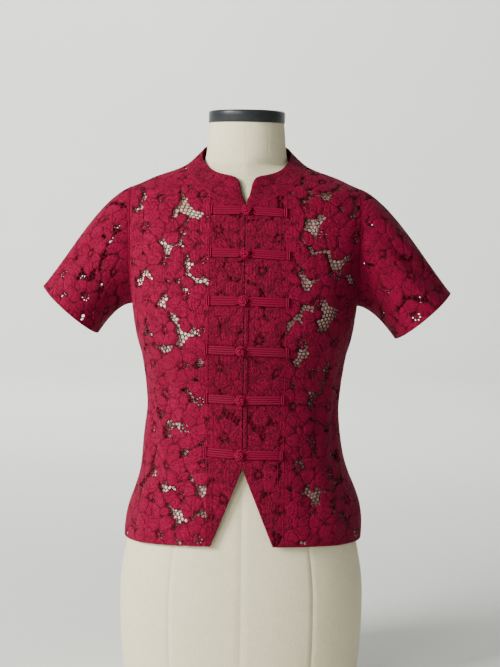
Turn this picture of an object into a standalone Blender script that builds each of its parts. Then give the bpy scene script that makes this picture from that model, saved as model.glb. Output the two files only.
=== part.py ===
"""A short-sleeved lace top with a stand collar and six knotted frogs, worn by a limbless dress form.

Run with: blender --background --python part.py. Every table and size is in millimetres, in one frame:
+X is the wearer's left, the front faces -Y, and Z is up from the flat underside of the form.
"""

import math

import bmesh
import bpy
import numpy as np
from mathutils import Vector, geometry

MM = 0.001

# The cloth
WALL = 1.2
FACING_WALL = 1.0
FACING_GAP = 0.8
SEAM_GAP = 0.3
FRONT_OPENING = 0.4
FACING_WIDTHS = {"front_left": 58.0, "front_right": 50.0}

# Heights on the worn top
HEM_SIDE = 222.0
HEM_RISE_FRONT = 7.5
VENT_TOP = 336.0
VENT_HALF_WIDTH = 43.5
UNDERARM = 561.0
SHOULDER_TIP = 728.0
NECK_SIDE = 760.0
NECK_FRONT = 706.0
NAPE = 770.0
NECK_HALF_WIDTH = 87.0
NECK_CURVE = 2.2
ARMHOLE_DEPTH = 52.0

# Half width of the top at each height, below the underarm and above the shoulder tip
TOP_WIDTHS = (
    # height, half width
    (205, 171.0),
    (222, 171.5),
    (245, 170.0),
    (268, 165.0),
    (291, 156.5),
    (315, 148.5),
    (338, 144.0),
    (361, 141.5),
    (384, 139.5),
    (410, 138.0),
    (442, 140.5),
    (465, 143.5),
    (489, 147.5),
    (512, 154.0),
    (535, 158.5),
    (561, 162.0),
)
SHOULDER_WIDTHS = (
    # height, half width
    (728, 165.5),
    (732, 155.5),
    (744, 129.0),
    (755, 97.5),
    (760, 87.0),
    (766, 77.0),
    (774, 68.0),
)
# How far the armhole's edge lies from the middle
ARMHOLE_EDGE = (
    # height, distance
    (561, 162.0),
    (645, 163.5),
    (700, 165.0),
    (728, 165.5),
)
# Depth of the top in front of and behind the form's axis, and how square its section is
TOP_DEPTHS = (
    # height, front, back, squareness
    (205, 121.0, 130.0, 2.20),
    (245, 120.0, 127.0, 2.20),
    (291, 115.0, 115.0, 2.20),
    (338, 108.5, 102.0, 2.20),
    (410, 103.5, 92.5, 2.25),
    (442, 107.0, 93.0, 2.35),
    (489, 122.0, 97.0, 2.50),
    (520, 130.0, 100.5, 2.55),
    (561, 127.0, 104.5, 2.45),
    (600, 116.0, 107.0, 2.30),
    (650, 98.5, 105.0, 2.20),
    (690, 81.0, 98.0, 2.10),
    (728, 66.5, 84.0, 1.80),
    (744, 61.0, 75.0, 1.55),
    (760, 57.5, 65.0, 1.50),
    (774, 56.0, 60.0, 1.70),
)
# The dress form's own sections
FORM_WIDTHS = (
    # height, half width
    (0, 168.0),
    (50, 175.0),
    (110, 178.0),
    (170, 176.0),
    (222, 166.5),
    (268, 157.0),
    (315, 141.0),
    (361, 130.0),
    (410, 125.5),
    (442, 128.0),
    (489, 137.0),
    (520, 145.0),
    (561, 153.0),
)
FORM_NECK_WIDTHS = (
    # height, half width
    (728, 161.0),
    (732, 152.2),
    (744, 125.7),
    (755, 93.3),
    (760, 75.0),
    (764, 63.5),
    (768, 60.0),
    (774, 58.0),
    (786, 56.5),
    (803, 55.3),
    (823, 53.6),
)
FORM_DEPTHS = (
    # height, front, back, squareness
    (0, 106.0, 116.0, 2.20),
    (50, 111.0, 122.0, 2.20),
    (110, 114.0, 127.0, 2.20),
    (170, 115.0, 127.0, 2.20),
    (222, 113.5, 124.0, 2.20),
    (291, 105.0, 107.0, 2.20),
    (338, 97.0, 93.0, 2.20),
    (410, 91.0, 84.0, 2.25),
    (442, 95.0, 85.0, 2.35),
    (489, 116.0, 90.0, 2.50),
    (520, 125.5, 94.0, 2.55),
    (561, 122.5, 98.0, 2.45),
    (600, 111.5, 101.0, 2.30),
    (650, 93.5, 99.5, 2.20),
    (690, 76.0, 92.5, 2.10),
    (728, 60.0, 79.0, 1.80),
    (744, 54.0, 69.0, 1.45),
    (760, 52.0, 57.5, 1.38),
    (768, 52.0, 55.0, 1.65),
    (776, 52.5, 54.0, 1.90),
    (790, 53.0, 53.0, 2.00),
    (823, 52.5, 52.0, 2.00),
)
FORM_ARM_PLATE = 159.5
FORM_ARMHOLE_INSET = 4.0
FORM_TOP = 821.0
FORM_LEVELS = (
    0, 4, 50, 110, 170, 222, 268, 315, 361, 410, 450, 489, 520, 561, 600, 645,
    690, 712, 728, 738, 747, 755, 760, 764, 769, 776, 790, FORM_TOP,
)  # fmt: skip
FORM_SIDES = 32
FORM_EDGE = 4.0
CAP_RADIUS = 55.0
CAP_HEIGHT = 17.0
CAP_EDGE = 1.2

# Stand collar: its seam follows the neckline, and its top edge rises to the back
COLLAR_TOP = (
    # degrees from the front, height of the top edge
    (0, 744.0),
    (17, 745.5),
    (35, 749.0),
    (51, 754.5),
    (66, 763.0),
    (90, 777.0),
    (110, 786.5),
    (140, 794.0),
    (180, 798.0),
)
COLLAR_TOP_HALF_WIDTH = 63.5
COLLAR_TOP_FRONT = 60.5
COLLAR_TOP_BACK = 59.0
COLLAR_SEAM = 0.024
COLLAR_FRONT_EDGE = (
    # share of the way up, distance from the middle
    (0.30, 5.2),
    (0.55, 7.4),
    (0.75, 9.2),
    (0.87, 11.4),
    (0.955, 15.0),
    (1.00, 20.5),
)

# Short set-in sleeves, each held open by its own stiffness
SLEEVE_GAP = 0.9
SLEEVE_MIDDLE = 644.5
SLEEVE_RISE = 83.5
SLEEVE_HEM_CENTRE = {"sleeve_left": (258.5, 547.5), "sleeve_right": (252.0, 550.5)}
SLEEVE_HEM_HALF_HEIGHT = 51.5
SLEEVE_HEM_HALF_DEPTH = 62.0
SLEEVE_SLANT = math.radians(49.0)
SLEEVE_PULL_TOP = 150.0
SLEEVE_PULL_UNDER = 62.0

# Frogs: where each pair sits
FROGS = (
    # height, place of the knot, end and tilt of the wearer's right strap, end and tilt of the left strap
    (697, 2.6, 45.5, 0.5, 53.0, -3.0),
    (638, 1.0, 45.5, 1.0, 57.0, -2.5),
    (573, -0.6, 46.5, 1.0, 56.0, -1.0),
    (505, -3.2, 48.5, 3.0, 57.0, -1.0),
    (434, -3.2, 48.5, 3.0, 52.0, 1.0),
    (357, -3.2, 49.0, 4.0, 51.0, -0.5),
)
STRAP_WIDTH = 13.0
STRAP_RIBS = 3
STRAP_CLEAR = 1.4
STRAP_EDGE = 1.0
STRAP_RIB = 2.0
STRAP_VALLEY = 1.3
TRIM_GAP = 0.5
WRAP_WIDTH = 5.5
WRAP_HEIGHT = 14.5
WRAP_THICKNESS = 2.5
KNOT_RADIUS = 5.8
KNOT_DEPTH = 4.2
KNOT_LEVELS = tuple(math.radians(angle) for angle in (-62, -32, 0, 32, 62))

# Lace: flowers on a loose lattice, leaves between some of them, and net in what is left
FLOWER_PITCH = (57.0, 49.0)
FLOWER_STRAY = (12.0, 10.0)
FLOWER_RADIUS = (27.0, 31.0)
EYE_REACH = 7.0
PETALS_FEWEST = 5
PETALS_MORE = 1.7
PETAL_REACH = (0.88, 1.16)
PETAL_SPREAD = 1.07
LEAF_SHARE = 0.60
LEAF_LENGTH = (9.0, 13.0)
LEAF_WIDTH = (4.5, 6.5)
SPOT_PUSH = 0.7
SPOT_LEAST = 0.7
DRIFT = 2.4
DRIFT_RUN = (8.5, 8.1)
DRIFT_TURN = (21.0, 19.0)
NET_PITCH = (5.8, 5.05)
NET_HOLE = 2.6
NET_CLEAR = 1.2
NET_MARGIN = 8.0
NET_OPEN = 1.5
HOLE_SIDES = 6
LACE_SHIFT = {
    # piece: how far its cut lies from the lattice's own zero, across and up
    "front_left": (7.0, 12.0),
    "front_right": (31.0, 3.0),
    "back": (19.0, 20.0),
    "sleeve_left": (11.0, 30.0),
    "sleeve_right": (40.0, 8.0),
}
OPEN_SPOTS = (
    # piece, height, distance from the middle, half width, half height of a stretch of bare net
    ("front_right", 700, 90, 4.2, 5.2),
    ("front_right", 686, 80, 5.2, 4.9),
    ("front_right", 690, 68, 5.6, 4.3),
    ("front_right", 666, 80, 3.0, 11.7),
    ("front_right", 646, 90, 6.1, 4.2),
    ("front_right", 644, 112, 7.5, 3.4),
    ("front_right", 624, 76, 3.8, 5.2),
    ("front_right", 700, 152, 5.7, 5.2),
    ("front_right", 602, 146, 5.2, 7.8),
    ("front_right", 570, 132, 7.5, 3.0),
    ("front_right", 566, 114, 6.7, 5.9),
    ("front_right", 550, 100, 5.8, 8.1),
    ("front_right", 584, 86, 4.3, 7.1),
    ("front_right", 532, 94, 7.4, 5.9),
    ("front_right", 528, 74, 10.2, 3.9),
    ("front_right", 502, 102, 3.0, 7.0),
    ("front_right", 486, 66, 3.3, 6.1),
    ("front_right", 436, 74, 7.6, 4.1),
    ("front_right", 392, 94, 4.2, 4.9),
    ("front_right", 308, 100, 10.0, 4.3),
    ("front_right", 316, 80, 8.6, 2.5),
    ("front_right", 270, 94, 4.3, 5.3),
    ("front_right", 264, 80, 8.2, 2.8),
    ("front_left", 714, 84, 8.0, 3.6),
    ("front_left", 716, 114, 9.5, 8.7),
    ("front_left", 682, 94, 8.0, 7.9),
    ("front_left", 686, 106, 5.7, 7.1),
    ("front_left", 668, 98, 4.6, 5.8),
    ("front_left", 692, 150, 6.1, 3.9),
    ("front_left", 654, 164, 6.6, 4.8),
    ("front_left", 638, 100, 4.7, 4.2),
    ("front_left", 626, 128, 11.9, 7.6),
    ("front_left", 610, 132, 8.4, 6.5),
    ("front_left", 614, 74, 5.2, 5.6),
    ("front_left", 600, 86, 8.9, 6.3),
    ("front_left", 566, 94, 5.2, 6.9),
    ("front_left", 564, 114, 8.4, 6.2),
    ("front_left", 548, 110, 7.5, 7.6),
    ("front_left", 532, 114, 4.9, 4.9),
    ("front_left", 502, 80, 10.1, 8.4),
    ("front_left", 486, 74, 5.2, 7.2),
    ("front_left", 474, 116, 12.2, 3.6),
    ("front_left", 430, 96, 7.5, 6.3),
    ("front_left", 360, 104, 4.8, 11.6),
    ("front_left", 344, 78, 8.9, 4.9),
    ("front_left", 298, 102, 8.9, 6.1),
    ("front_left", 286, 104, 5.4, 4.6),
    ("front_left", 314, 134, 6.9, 3.2),
)
HOLES_CUT = {"front_left": 38, "front_right": 38, "back": 56, "sleeve_left": 26, "sleeve_right": 26}

# Soft folds: where each runs on its piece, its slant from upright, its reach and its depth
FOLDS = (
    # piece, across, up, slant, half length, half width, depth
    ("front_left", 118.0, 430.0, 10.0, 70.0, 11.0, -3.0),
    ("front_left", 150.0, 400.0, 4.0, 85.0, 9.0, -3.0),
    ("front_left", 96.0, 300.0, -8.0, 60.0, 14.0, -2.5),
    ("front_left", 140.0, 262.0, -6.0, 45.0, 12.0, 3.0),
    ("front_right", -112.0, 440.0, -12.0, 65.0, 11.0, -3.0),
    ("front_right", -146.0, 395.0, -5.0, 80.0, 9.0, -3.0),
    ("front_right", -90.0, 296.0, 9.0, 55.0, 14.0, -2.5),
    ("front_right", -150.0, 270.0, 6.0, 45.0, 12.0, 2.5),
    ("back", -70.0, 400.0, 6.0, 90.0, 13.0, -3.5),
    ("back", 66.0, 410.0, -5.0, 95.0, 13.0, -3.5),
    ("back", 0.0, 420.0, 2.0, 60.0, 16.0, -2.5),
    ("back", 118.0, 300.0, -5.0, 60.0, 14.0, 2.5),
    ("back", -124.0, 306.0, 6.0, 60.0, 14.0, 2.5),
    ("front_left", 219.0, 288.0, -17.0, 60.0, 45.0, 8.0),
    ("back", -219.5, 288.0, 22.0, 60.0, 45.0, 8.0),
    ("front_right", -197.0, 369.0, 17.0, 50.0, 40.0, 3.5),
    ("back", 190.0, 369.0, -22.0, 50.0, 40.0, 3.5),
    ("sleeve_left", -62.0, 96.0, -14.0, 60.0, 12.0, -5.0),
    ("sleeve_left", -30.0, 60.0, -8.0, 55.0, 10.0, 2.5),
    ("sleeve_left", 66.0, 90.0, 12.0, 55.0, 12.0, -4.0),
    ("sleeve_right", 60.0, 98.0, 14.0, 60.0, 12.0, -5.0),
    ("sleeve_right", 28.0, 58.0, 8.0, 55.0, 10.0, 2.5),
    ("sleeve_right", -66.0, 92.0, -12.0, 55.0, 12.0, -4.0),
)

CRIMSON = (0.42, 0.008, 0.050)
CRIMSON_TRIM = (0.38, 0.006, 0.044)
LINEN = (0.72, 0.66, 0.52)
CAP_BLACK = (0.012, 0.014, 0.016)


def smooth(places, values, at):
    """A smooth curve through a table's values, read at the places `at`."""
    places, values = np.asarray(places, float), np.asarray(values, float)
    at = np.clip(np.asarray(at, float), places[0], places[-1])
    slopes = np.gradient(values, places)
    k = np.clip(np.searchsorted(places, at) - 1, 0, len(places) - 2)
    width = places[k + 1] - places[k]
    t = (at - places[k]) / width
    return (
        values[k] * (2 * t**3 - 3 * t**2 + 1)
        + slopes[k] * width * (t**3 - 2 * t**2 + t)
        + values[k + 1] * (3 * t**2 - 2 * t**3)
        + slopes[k + 1] * width * (t**3 - t**2)
    )


def column(table, n):
    return [row[n] for row in table]


def read(table, n, heights):
    return smooth(column(table, 0), column(table, n), heights)


def armhole_reach(heights, depth):
    """How far the armhole opens forward of the shoulder line at each height."""
    share = 1 - ((heights - SLEEVE_MIDDLE) / SLEEVE_RISE) ** 2
    return depth * np.sqrt(np.clip(share, 0, None))


def half_widths(heights, lower, upper, edge, reach, front, squareness):
    """Half widths from the tables, and between them wide enough to pass through the armhole."""
    through = edge / (1 - np.clip(reach / front, 0, 0.98) ** squareness) ** (1 / squareness)
    low = read(lower, 1, heights)
    high = read(upper, 1, heights)
    return np.where(heights <= UNDERARM, low, np.where(heights >= SHOULDER_TIP, high, through))


def top_sections(heights):
    """Half width, front, back and squareness of the top at each height."""
    front, back, square = (read(TOP_DEPTHS, n, heights) for n in (1, 2, 3))
    edge = read(ARMHOLE_EDGE, 1, heights)
    reach = armhole_reach(heights, ARMHOLE_DEPTH)
    wide = half_widths(heights, TOP_WIDTHS, SHOULDER_WIDTHS, edge, reach, front, square)
    return wide, front, back, square


def form_sections(heights):
    front, back, square = (read(FORM_DEPTHS, n, heights) for n in (1, 2, 3))
    edge = np.full(len(heights), FORM_ARM_PLATE)
    reach = armhole_reach(heights, ARMHOLE_DEPTH - FORM_ARMHOLE_INSET)
    wide = half_widths(heights, FORM_WIDTHS, FORM_NECK_WIDTHS, edge, reach, front, square)
    return wide, front, back, square


def section_points(sections, heights, angles):
    """Points of the sections, a row for each height, at angles from the front round by the left."""
    wide, front, back, square = (part[:, None] for part in sections)
    sine, cosine = np.sin(angles)[None, :], np.cos(angles)[None, :]
    x = wide * np.sign(sine) * np.abs(sine) ** (2 / square)
    depth = np.where(cosine > 0, -front, back)
    y = depth * np.abs(cosine) ** (2 / square)
    z = np.broadcast_to(heights[:, None], x.shape)
    return np.stack([x, y, z], axis=2)


class Cloth:
    """A stretch of worn cloth: a grid of points, and where each of them lies when it is flat."""

    def __init__(self, piece, points, zero_column, zero_up=0.0):
        self.points = points
        across = np.linalg.norm(np.diff(points, axis=1), axis=2)
        up = np.linalg.norm(np.diff(points, axis=0), axis=2)
        self.across = np.pad(np.cumsum(across, axis=1), ((0, 0), (1, 0)))
        self.across -= self.across[:, [zero_column]]
        self.up = np.pad(np.cumsum(up, axis=0), ((1, 0), (0, 0))) + zero_up
        self.normals = self.turned_out(self.points)
        self.points = self.points + self.normals * self.folded(piece)[..., None]
        self.normals = self.turned_out(self.points)

    @staticmethod
    def turned_out(points):
        out = np.cross(np.gradient(points, axis=1), np.gradient(points, axis=0))
        return out / np.maximum(np.linalg.norm(out, axis=2, keepdims=True), 1e-9)

    def folded(self, piece):
        """How far the soft folds move each point out of the plain shape."""
        moved = np.zeros(self.across.shape)
        for name, across, up, slant, length, width, depth in FOLDS:
            if name == piece:
                turn = math.radians(slant)
                dx, dy = self.across - across, self.up - up
                along = dx * math.sin(turn) + dy * math.cos(turn)
                beside = dx * math.cos(turn) - dy * math.sin(turn)
                moved += depth * np.exp(-((along / length) ** 2) - (beside / width) ** 2)
        return moved

    def sample(self, grid, rows, columns):
        """The grid's value between its points."""
        last_row, last_column = grid.shape[0] - 1, grid.shape[1] - 1
        rows, columns = np.clip(rows, 0, last_row), np.clip(columns, 0, last_column)
        i = np.minimum(rows.astype(int), last_row - 1)
        j = np.minimum(columns.astype(int), last_column - 1)
        a, b = rows - i, columns - j
        if grid.ndim == 3:
            a, b = a[..., None], b[..., None]
        return (
            grid[i, j] * (1 - a) * (1 - b)
            + grid[i + 1, j] * a * (1 - b)
            + grid[i, j + 1] * (1 - a) * b
            + grid[i + 1, j + 1] * a * b
        )

    def flat(self, rows, columns):
        """Where points of the grid lie on the flat cloth."""
        rows, columns = np.asarray(rows, float), np.asarray(columns, float)
        flat = [self.sample(grid, rows, columns) for grid in (self.across, self.up)]
        return np.stack(flat, axis=-1)

    def locate(self, flat):
        """The grid rows and columns of points on the flat cloth, found by Newton's steps."""
        height, width = self.across.shape
        rows = np.interp(flat[:, 1], self.up[:, width // 2], np.arange(height))
        columns = np.full(len(flat), width / 2)
        for _ in range(30):
            here = self.flat(rows, columns)
            by_row = (self.flat(rows + 0.5, columns) - self.flat(rows - 0.5, columns))
            by_column = (self.flat(rows, columns + 0.5) - self.flat(rows, columns - 0.5))
            miss = flat - here
            area = by_row[:, 0] * by_column[:, 1] - by_row[:, 1] * by_column[:, 0]
            area = np.where(np.abs(area) < 1e-6, 1e-6, area)
            step_row = (miss[:, 0] * by_column[:, 1] - miss[:, 1] * by_column[:, 0]) / area
            step_column = (by_row[:, 0] * miss[:, 1] - by_row[:, 1] * miss[:, 0]) / area
            rows = np.clip(rows + np.clip(step_row, -8, 8), 0.5, height - 1.5)
            columns = np.clip(columns + np.clip(step_column, -8, 8), 0.5, width - 1.5)
        return rows, columns

    def place(self, rows, columns, out):
        """Points of the worn cloth, moved out from it."""
        normals = self.sample(self.normals, rows, columns)
        normals /= np.linalg.norm(normals, axis=-1, keepdims=True)
        return self.sample(self.points, rows, columns) + normals * out


def steady(i, j, k):
    """A number from 0 to 1 that always belongs to the same place of the lace's lattice."""
    return np.abs(np.sin(i * 12.9898 + j * 78.233 + k * 37.719) * 43758.5453) % 1.0


def between(ends, share):
    return ends[0] + (ends[1] - ends[0]) * share


def flowers(low, high):
    """Lattice place, middle, radius, petals and turn of each flower near a stretch of flat cloth."""
    columns = range(int(low[0] // FLOWER_PITCH[0]) - 1, int(high[0] // FLOWER_PITCH[0]) + 2)
    rows = range(int(low[1] // FLOWER_PITCH[1]) - 1, int(high[1] // FLOWER_PITCH[1]) + 2)
    for j in rows:
        for i in columns:
            x = (i + 0.5 * (j % 2)) * FLOWER_PITCH[0] + (steady(i, j, 1) - 0.5) * FLOWER_STRAY[0]
            y = j * FLOWER_PITCH[1] + (steady(i, j, 2) - 0.5) * FLOWER_STRAY[1]
            radius = between(FLOWER_RADIUS, steady(i, j, 3))
            count = PETALS_FEWEST + int(PETALS_MORE * steady(i, j, 4))
            yield i, j, x, y, radius, count, steady(i, j, 5)


def motifs(low, high):
    """Petals and leaves in a stretch of flat cloth: middle, direction, half length, half width."""
    found = []
    for i, j, x, y, radius, count, start in flowers(low, high):
        for petal in range(count):
            turn = 2 * math.pi * (petal + start) / count
            long = (radius * between(PETAL_REACH, steady(i, j, 14 + petal)) - EYE_REACH) / 2
            reach = EYE_REACH + long
            middle = (x + reach * math.cos(turn), y + reach * math.sin(turn))
            wide = reach * math.tan(math.pi / count) * PETAL_SPREAD
            found.append((*middle, turn, long, wide))
        for k, (dx, dy) in enumerate(((0.5, 1 / 3), (1.0, 2 / 3))):
            if steady(i, j, 6 + k) < LEAF_SHARE:
                across = (i + 0.5 * (j % 2) + dx) * FLOWER_PITCH[0]
                turn = math.pi * steady(i, j, 8 + k)
                length = between(LEAF_LENGTH, steady(i, j, 10 + k))
                width = between(LEAF_WIDTH, steady(i, j, 12 + k))
                found.append((across, (j + dy) * FLOWER_PITCH[1], turn, length, width))
    return np.array(found)


def opened(shapes, spots):
    """The petals and leaves, with those over a stretch of open net pushed aside and made smaller."""
    for across, up, half_width, half_height in spots:
        dx, dy = shapes[:, 0] - across, shapes[:, 1] - up
        away = np.hypot(dx, dy)
        turned = np.arctan2(dy, dx) - shapes[:, 2]
        own = 1 / np.hypot(np.cos(turned) / shapes[:, 3], np.sin(turned) / shapes[:, 4])
        edge = away / np.hypot(dx / half_width, dy / half_height)
        cover = np.maximum(own + edge - away, 0)
        shapes[:, 0] += dx / away * cover * SPOT_PUSH
        shapes[:, 1] += dy / away * cover * SPOT_PUSH
        shapes[:, 3:] *= np.maximum(1 - (1 - SPOT_PUSH) * cover / own, SPOT_LEAST)[:, None]
    return shapes


def drifted(points):
    """Where the waver of the lace's making puts points of its regular plan."""
    x, y = points[..., 0], points[..., 1]
    sideways = DRIFT * np.sin(y / DRIFT_RUN[0] + np.sin(x / DRIFT_TURN[0]))
    upward = DRIFT * np.sin(x / DRIFT_RUN[1] + np.sin(y / DRIFT_TURN[1]))
    return points + np.stack([sideways, upward], axis=-1)


def nearest_motif(points, shapes):
    """How far out each point lies in the nearest petal or leaf: 1 is on its edge, and more is in the net."""
    dx = points[:, None, 0] - shapes[None, :, 0]
    dy = points[:, None, 1] - shapes[None, :, 1]
    cosine, sine = np.cos(shapes[:, 2]), np.sin(shapes[:, 2])
    along = (dx * cosine + dy * sine) / shapes[:, 3]
    beside = (dy * cosine - dx * sine) / shapes[:, 4]
    return np.sqrt(along**2 + beside**2).min(axis=1)


def net_holes(piece, outline, wanted, spots=()):
    """Outlines of the largest net gaps of a piece, on the flat cloth."""
    shift = np.array(LACE_SHIFT[piece])
    low, high = outline.min(axis=0) + shift, outline.max(axis=0) + shift
    shapes = opened(motifs(low, high) - np.array([*shift, 0, 0, 0]), spots)
    found = []
    for j in range(int(low[1] // NET_PITCH[1]), int(high[1] // NET_PITCH[1]) + 2):
        for i in range(int(low[0] // NET_PITCH[0]), int(high[0] // NET_PITCH[0]) + 2):
            found.append(((i + 0.5 * (j % 2)) * NET_PITCH[0], j * NET_PITCH[1]))
    found = np.array(found) - shift
    openness = nearest_motif(found, shapes)
    worn = drifted(found)
    margin = distance_to(worn, outline)
    kept = (openness > NET_CLEAR) & inside(worn, outline) & (margin > NET_MARGIN)
    found, openness = found[kept], openness[kept]
    spread = steady(found[:, 0], found[:, 1], 20)
    order = np.argsort(0.4 * spread - np.minimum(openness, NET_OPEN))[:wanted]
    turns = np.arange(HOLE_SIDES) * 2 * math.pi / HOLE_SIDES + math.pi / 6
    ring = NET_HOLE * np.stack([np.cos(turns), np.sin(turns)], axis=1)
    return [drifted(centre + ring) for centre in found[order]]


def inside(points, loop):
    """Which points lie inside a closed outline."""
    x, y = points[:, 0][:, None], points[:, 1][:, None]
    a, b = loop, np.roll(loop, -1, axis=0)
    crosses = (a[:, 1] > y) != (b[:, 1] > y)
    rise = np.where(b[:, 1] == a[:, 1], 1e-12, b[:, 1] - a[:, 1])
    at = a[:, 0] + (y - a[:, 1]) * (b[:, 0] - a[:, 0]) / rise
    return (crosses & (x < at)).sum(axis=1) % 2 == 1


def distance_to(points, loop):
    """Each point's distance to a closed outline."""
    a = loop
    run = np.roll(loop, -1, axis=0) - a
    rel = points[:, None, :] - a[None]
    share = (rel * run).sum(axis=2) / np.maximum((run**2).sum(axis=1), 1e-12)
    away = rel - run * np.clip(share, 0, 1)[..., None]
    return np.linalg.norm(away, axis=2).min(axis=1)


def area_of(loop):
    ahead = np.roll(loop, -1, axis=0)
    return (loop[:, 0] * ahead[:, 1] - ahead[:, 0] * loop[:, 1]).sum() / 2


def inset(loop, distance):
    """The outline moved inwards, running anticlockwise."""
    if area_of(loop) < 0:
        loop = loop[::-1]
    forward = np.roll(loop, -1, axis=0) - loop
    forward /= np.linalg.norm(forward, axis=1, keepdims=True)
    back = np.roll(forward, 1, axis=0)
    sides = [np.stack([-way[:, 1], way[:, 0]], axis=1) for way in (forward, back)]
    middle = sides[0] + sides[1]
    middle /= np.maximum((middle * sides[0]).sum(axis=1, keepdims=True), 0.6)
    return loop + middle * distance


def wall(name, cloth, outline, lattice, holes=(), thickness=WALL, out=0.0, spacing=9.0):
    """A cut piece of cloth as a closed wall: its outline, its gaps, and points that carry its curve."""
    if area_of(outline) < 0:
        outline = outline[::-1]
    loops = [outline, *holes]
    free = lattice[inside(lattice, outline)]
    free = free[distance_to(free, outline) > spacing]
    for hole in holes:
        free = free[np.linalg.norm(free - hole.mean(axis=0), axis=1) > 2 * NET_HOLE]
    points = np.concatenate([*loops, free])
    starts = np.cumsum([0] + [len(loop) for loop in loops])
    faces = [list(range(starts[n], starts[n + 1])) for n in range(len(loops))]
    made = geometry.delaunay_2d_cdt([Vector(p) for p in points], [], faces, 1, 1e-4, True)
    kept = [corners for corners, owners in zip(made[2], made[5]) if set(owners) == {0}]
    flat = np.array([tuple(p) for p in made[0]])
    rows, columns = cloth.locate(flat)
    outer = cloth.place(rows, columns, out + thickness / 2)
    inner = cloth.place(rows, columns, out - thickness / 2)
    corners = np.array(kept)
    sides = outer[corners]
    facing = np.cross(sides[:, 1] - sides[:, 0], sides[:, 2] - sides[:, 0])
    middle_normal = cloth.sample(cloth.normals, rows, columns)[corners].mean(axis=1)
    turned = (facing * middle_normal).sum(axis=1) < 0
    corners[turned] = corners[turned][:, ::-1]
    count = len(flat)
    border = {}
    for a, b, c in corners.tolist():
        for edge in ((a, b), (b, c), (c, a)):
            if (edge[1], edge[0]) in border:
                del border[(edge[1], edge[0])]
            else:
                border[edge] = True
    faces = corners.tolist() + (corners[:, ::-1] + count).tolist()
    for a, b in border:
        faces += [(b, a, a + count), (b, a + count, b + count)]
    return solid(name, np.concatenate([outer, inner]), faces, CRIMSON)


def solid(name, points, faces, colour, metallic=0.0, roughness=0.85):
    """A named mesh object from points in millimetres."""
    mesh = bpy.data.meshes.new(name)
    mesh.from_pydata((np.asarray(points) * MM).tolist(), [], faces)
    mesh.update()
    made = bpy.data.objects.new(name, mesh)
    bpy.context.scene.collection.objects.link(made)
    tidy(mesh)
    mesh.polygons.foreach_set("use_smooth", [True] * len(mesh.polygons))
    mesh.set_sharp_from_angle(angle=math.radians(38))
    made.data.materials.append(finish(name, colour, metallic, roughness))
    return made


def tidy(mesh):
    """Loose points out, faces pointing outwards."""
    work = bmesh.new()
    work.from_mesh(mesh)
    bmesh.ops.delete(work, geom=[v for v in work.verts if not v.link_faces], context="VERTS")
    bmesh.ops.recalc_face_normals(work, faces=work.faces)
    work.to_mesh(mesh)
    work.free()


def finish(name, colour, metallic, roughness):
    material = bpy.data.materials.new(name)
    material.use_nodes = True
    shader = material.node_tree.nodes["Principled BSDF"]
    shader.inputs["Base Color"].default_value = (*colour, 1.0)
    shader.inputs["Metallic"].default_value = metallic
    shader.inputs["Roughness"].default_value = roughness
    return material


def loft(name, rings, colour, metallic=0.0, roughness=0.85):
    """A closed body through rings of equal length, with flat ends."""
    count = len(rings[0])
    faces = [tuple(range(count))[::-1]]
    for n in range(len(rings) - 1):
        for k in range(count):
            a, b = n * count + k, n * count + (k + 1) % count
            faces.append((a, b, b + count, a + count))
    faces.append(tuple(range((len(rings) - 1) * count, len(rings) * count)))
    return solid(name, np.concatenate(rings), faces, colour, metallic, roughness)


# The cloth's own shapes

ROWS_LOW = 212.0
ROWS_HIGH = 773.0
ROW_STEP = 3.0
TORSO_COLUMNS = 61
SPARE = 2
HEIGHTS = np.arange(ROWS_LOW, ROWS_HIGH, ROW_STEP)
QUARTER = math.pi / 2


def torso_cloth(piece, first, last, columns, zero):
    """The top's body between two angles from the centre front."""
    angles = first + (last - first) / (columns - 1) * np.arange(-SPARE, columns + SPARE)
    points = section_points(top_sections(HEIGHTS), HEIGHTS, angles)
    return Cloth(piece, points, SPARE + zero, ROWS_LOW)


def row_of(heights):
    return (np.asarray(heights, float) - ROWS_LOW) / ROW_STEP


def angle_at(heights, x):
    """The section angle at which a front or back point lies x from the middle."""
    heights = np.asarray(heights, float)
    wide, _, _, square = top_sections(heights)
    return np.arcsin(np.clip(np.asarray(x) / wide, 0, 1) ** (square / 2))


def hem_height(x):
    """The hem rises a little towards the front opening."""
    return HEM_SIDE + HEM_RISE_FRONT * (1 - (x / TOP_WIDTHS[1][1]) ** 2)


def neck_front_height(x):
    return NECK_FRONT + (NECK_SIDE - NECK_FRONT) * (x / NECK_HALF_WIDTH) ** NECK_CURVE


def neck_back_height(x):
    return NAPE - (NAPE - NECK_SIDE) * (x / NECK_HALF_WIDTH) ** 2


SHOULDER_STEPS = (SHOULDER_TIP, 735, 742, 748, 754, NECK_SIDE - 0.8)


def armhole_path(count):
    """Heights and distances of the armhole's edge, from the underarm up to the shoulder tip."""
    turn = np.linspace(0, math.pi, count)[1:-1]
    heights = SLEEVE_MIDDLE - SLEEVE_RISE * np.cos(turn)
    return heights, read(ARMHOLE_EDGE, 1, heights)


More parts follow.
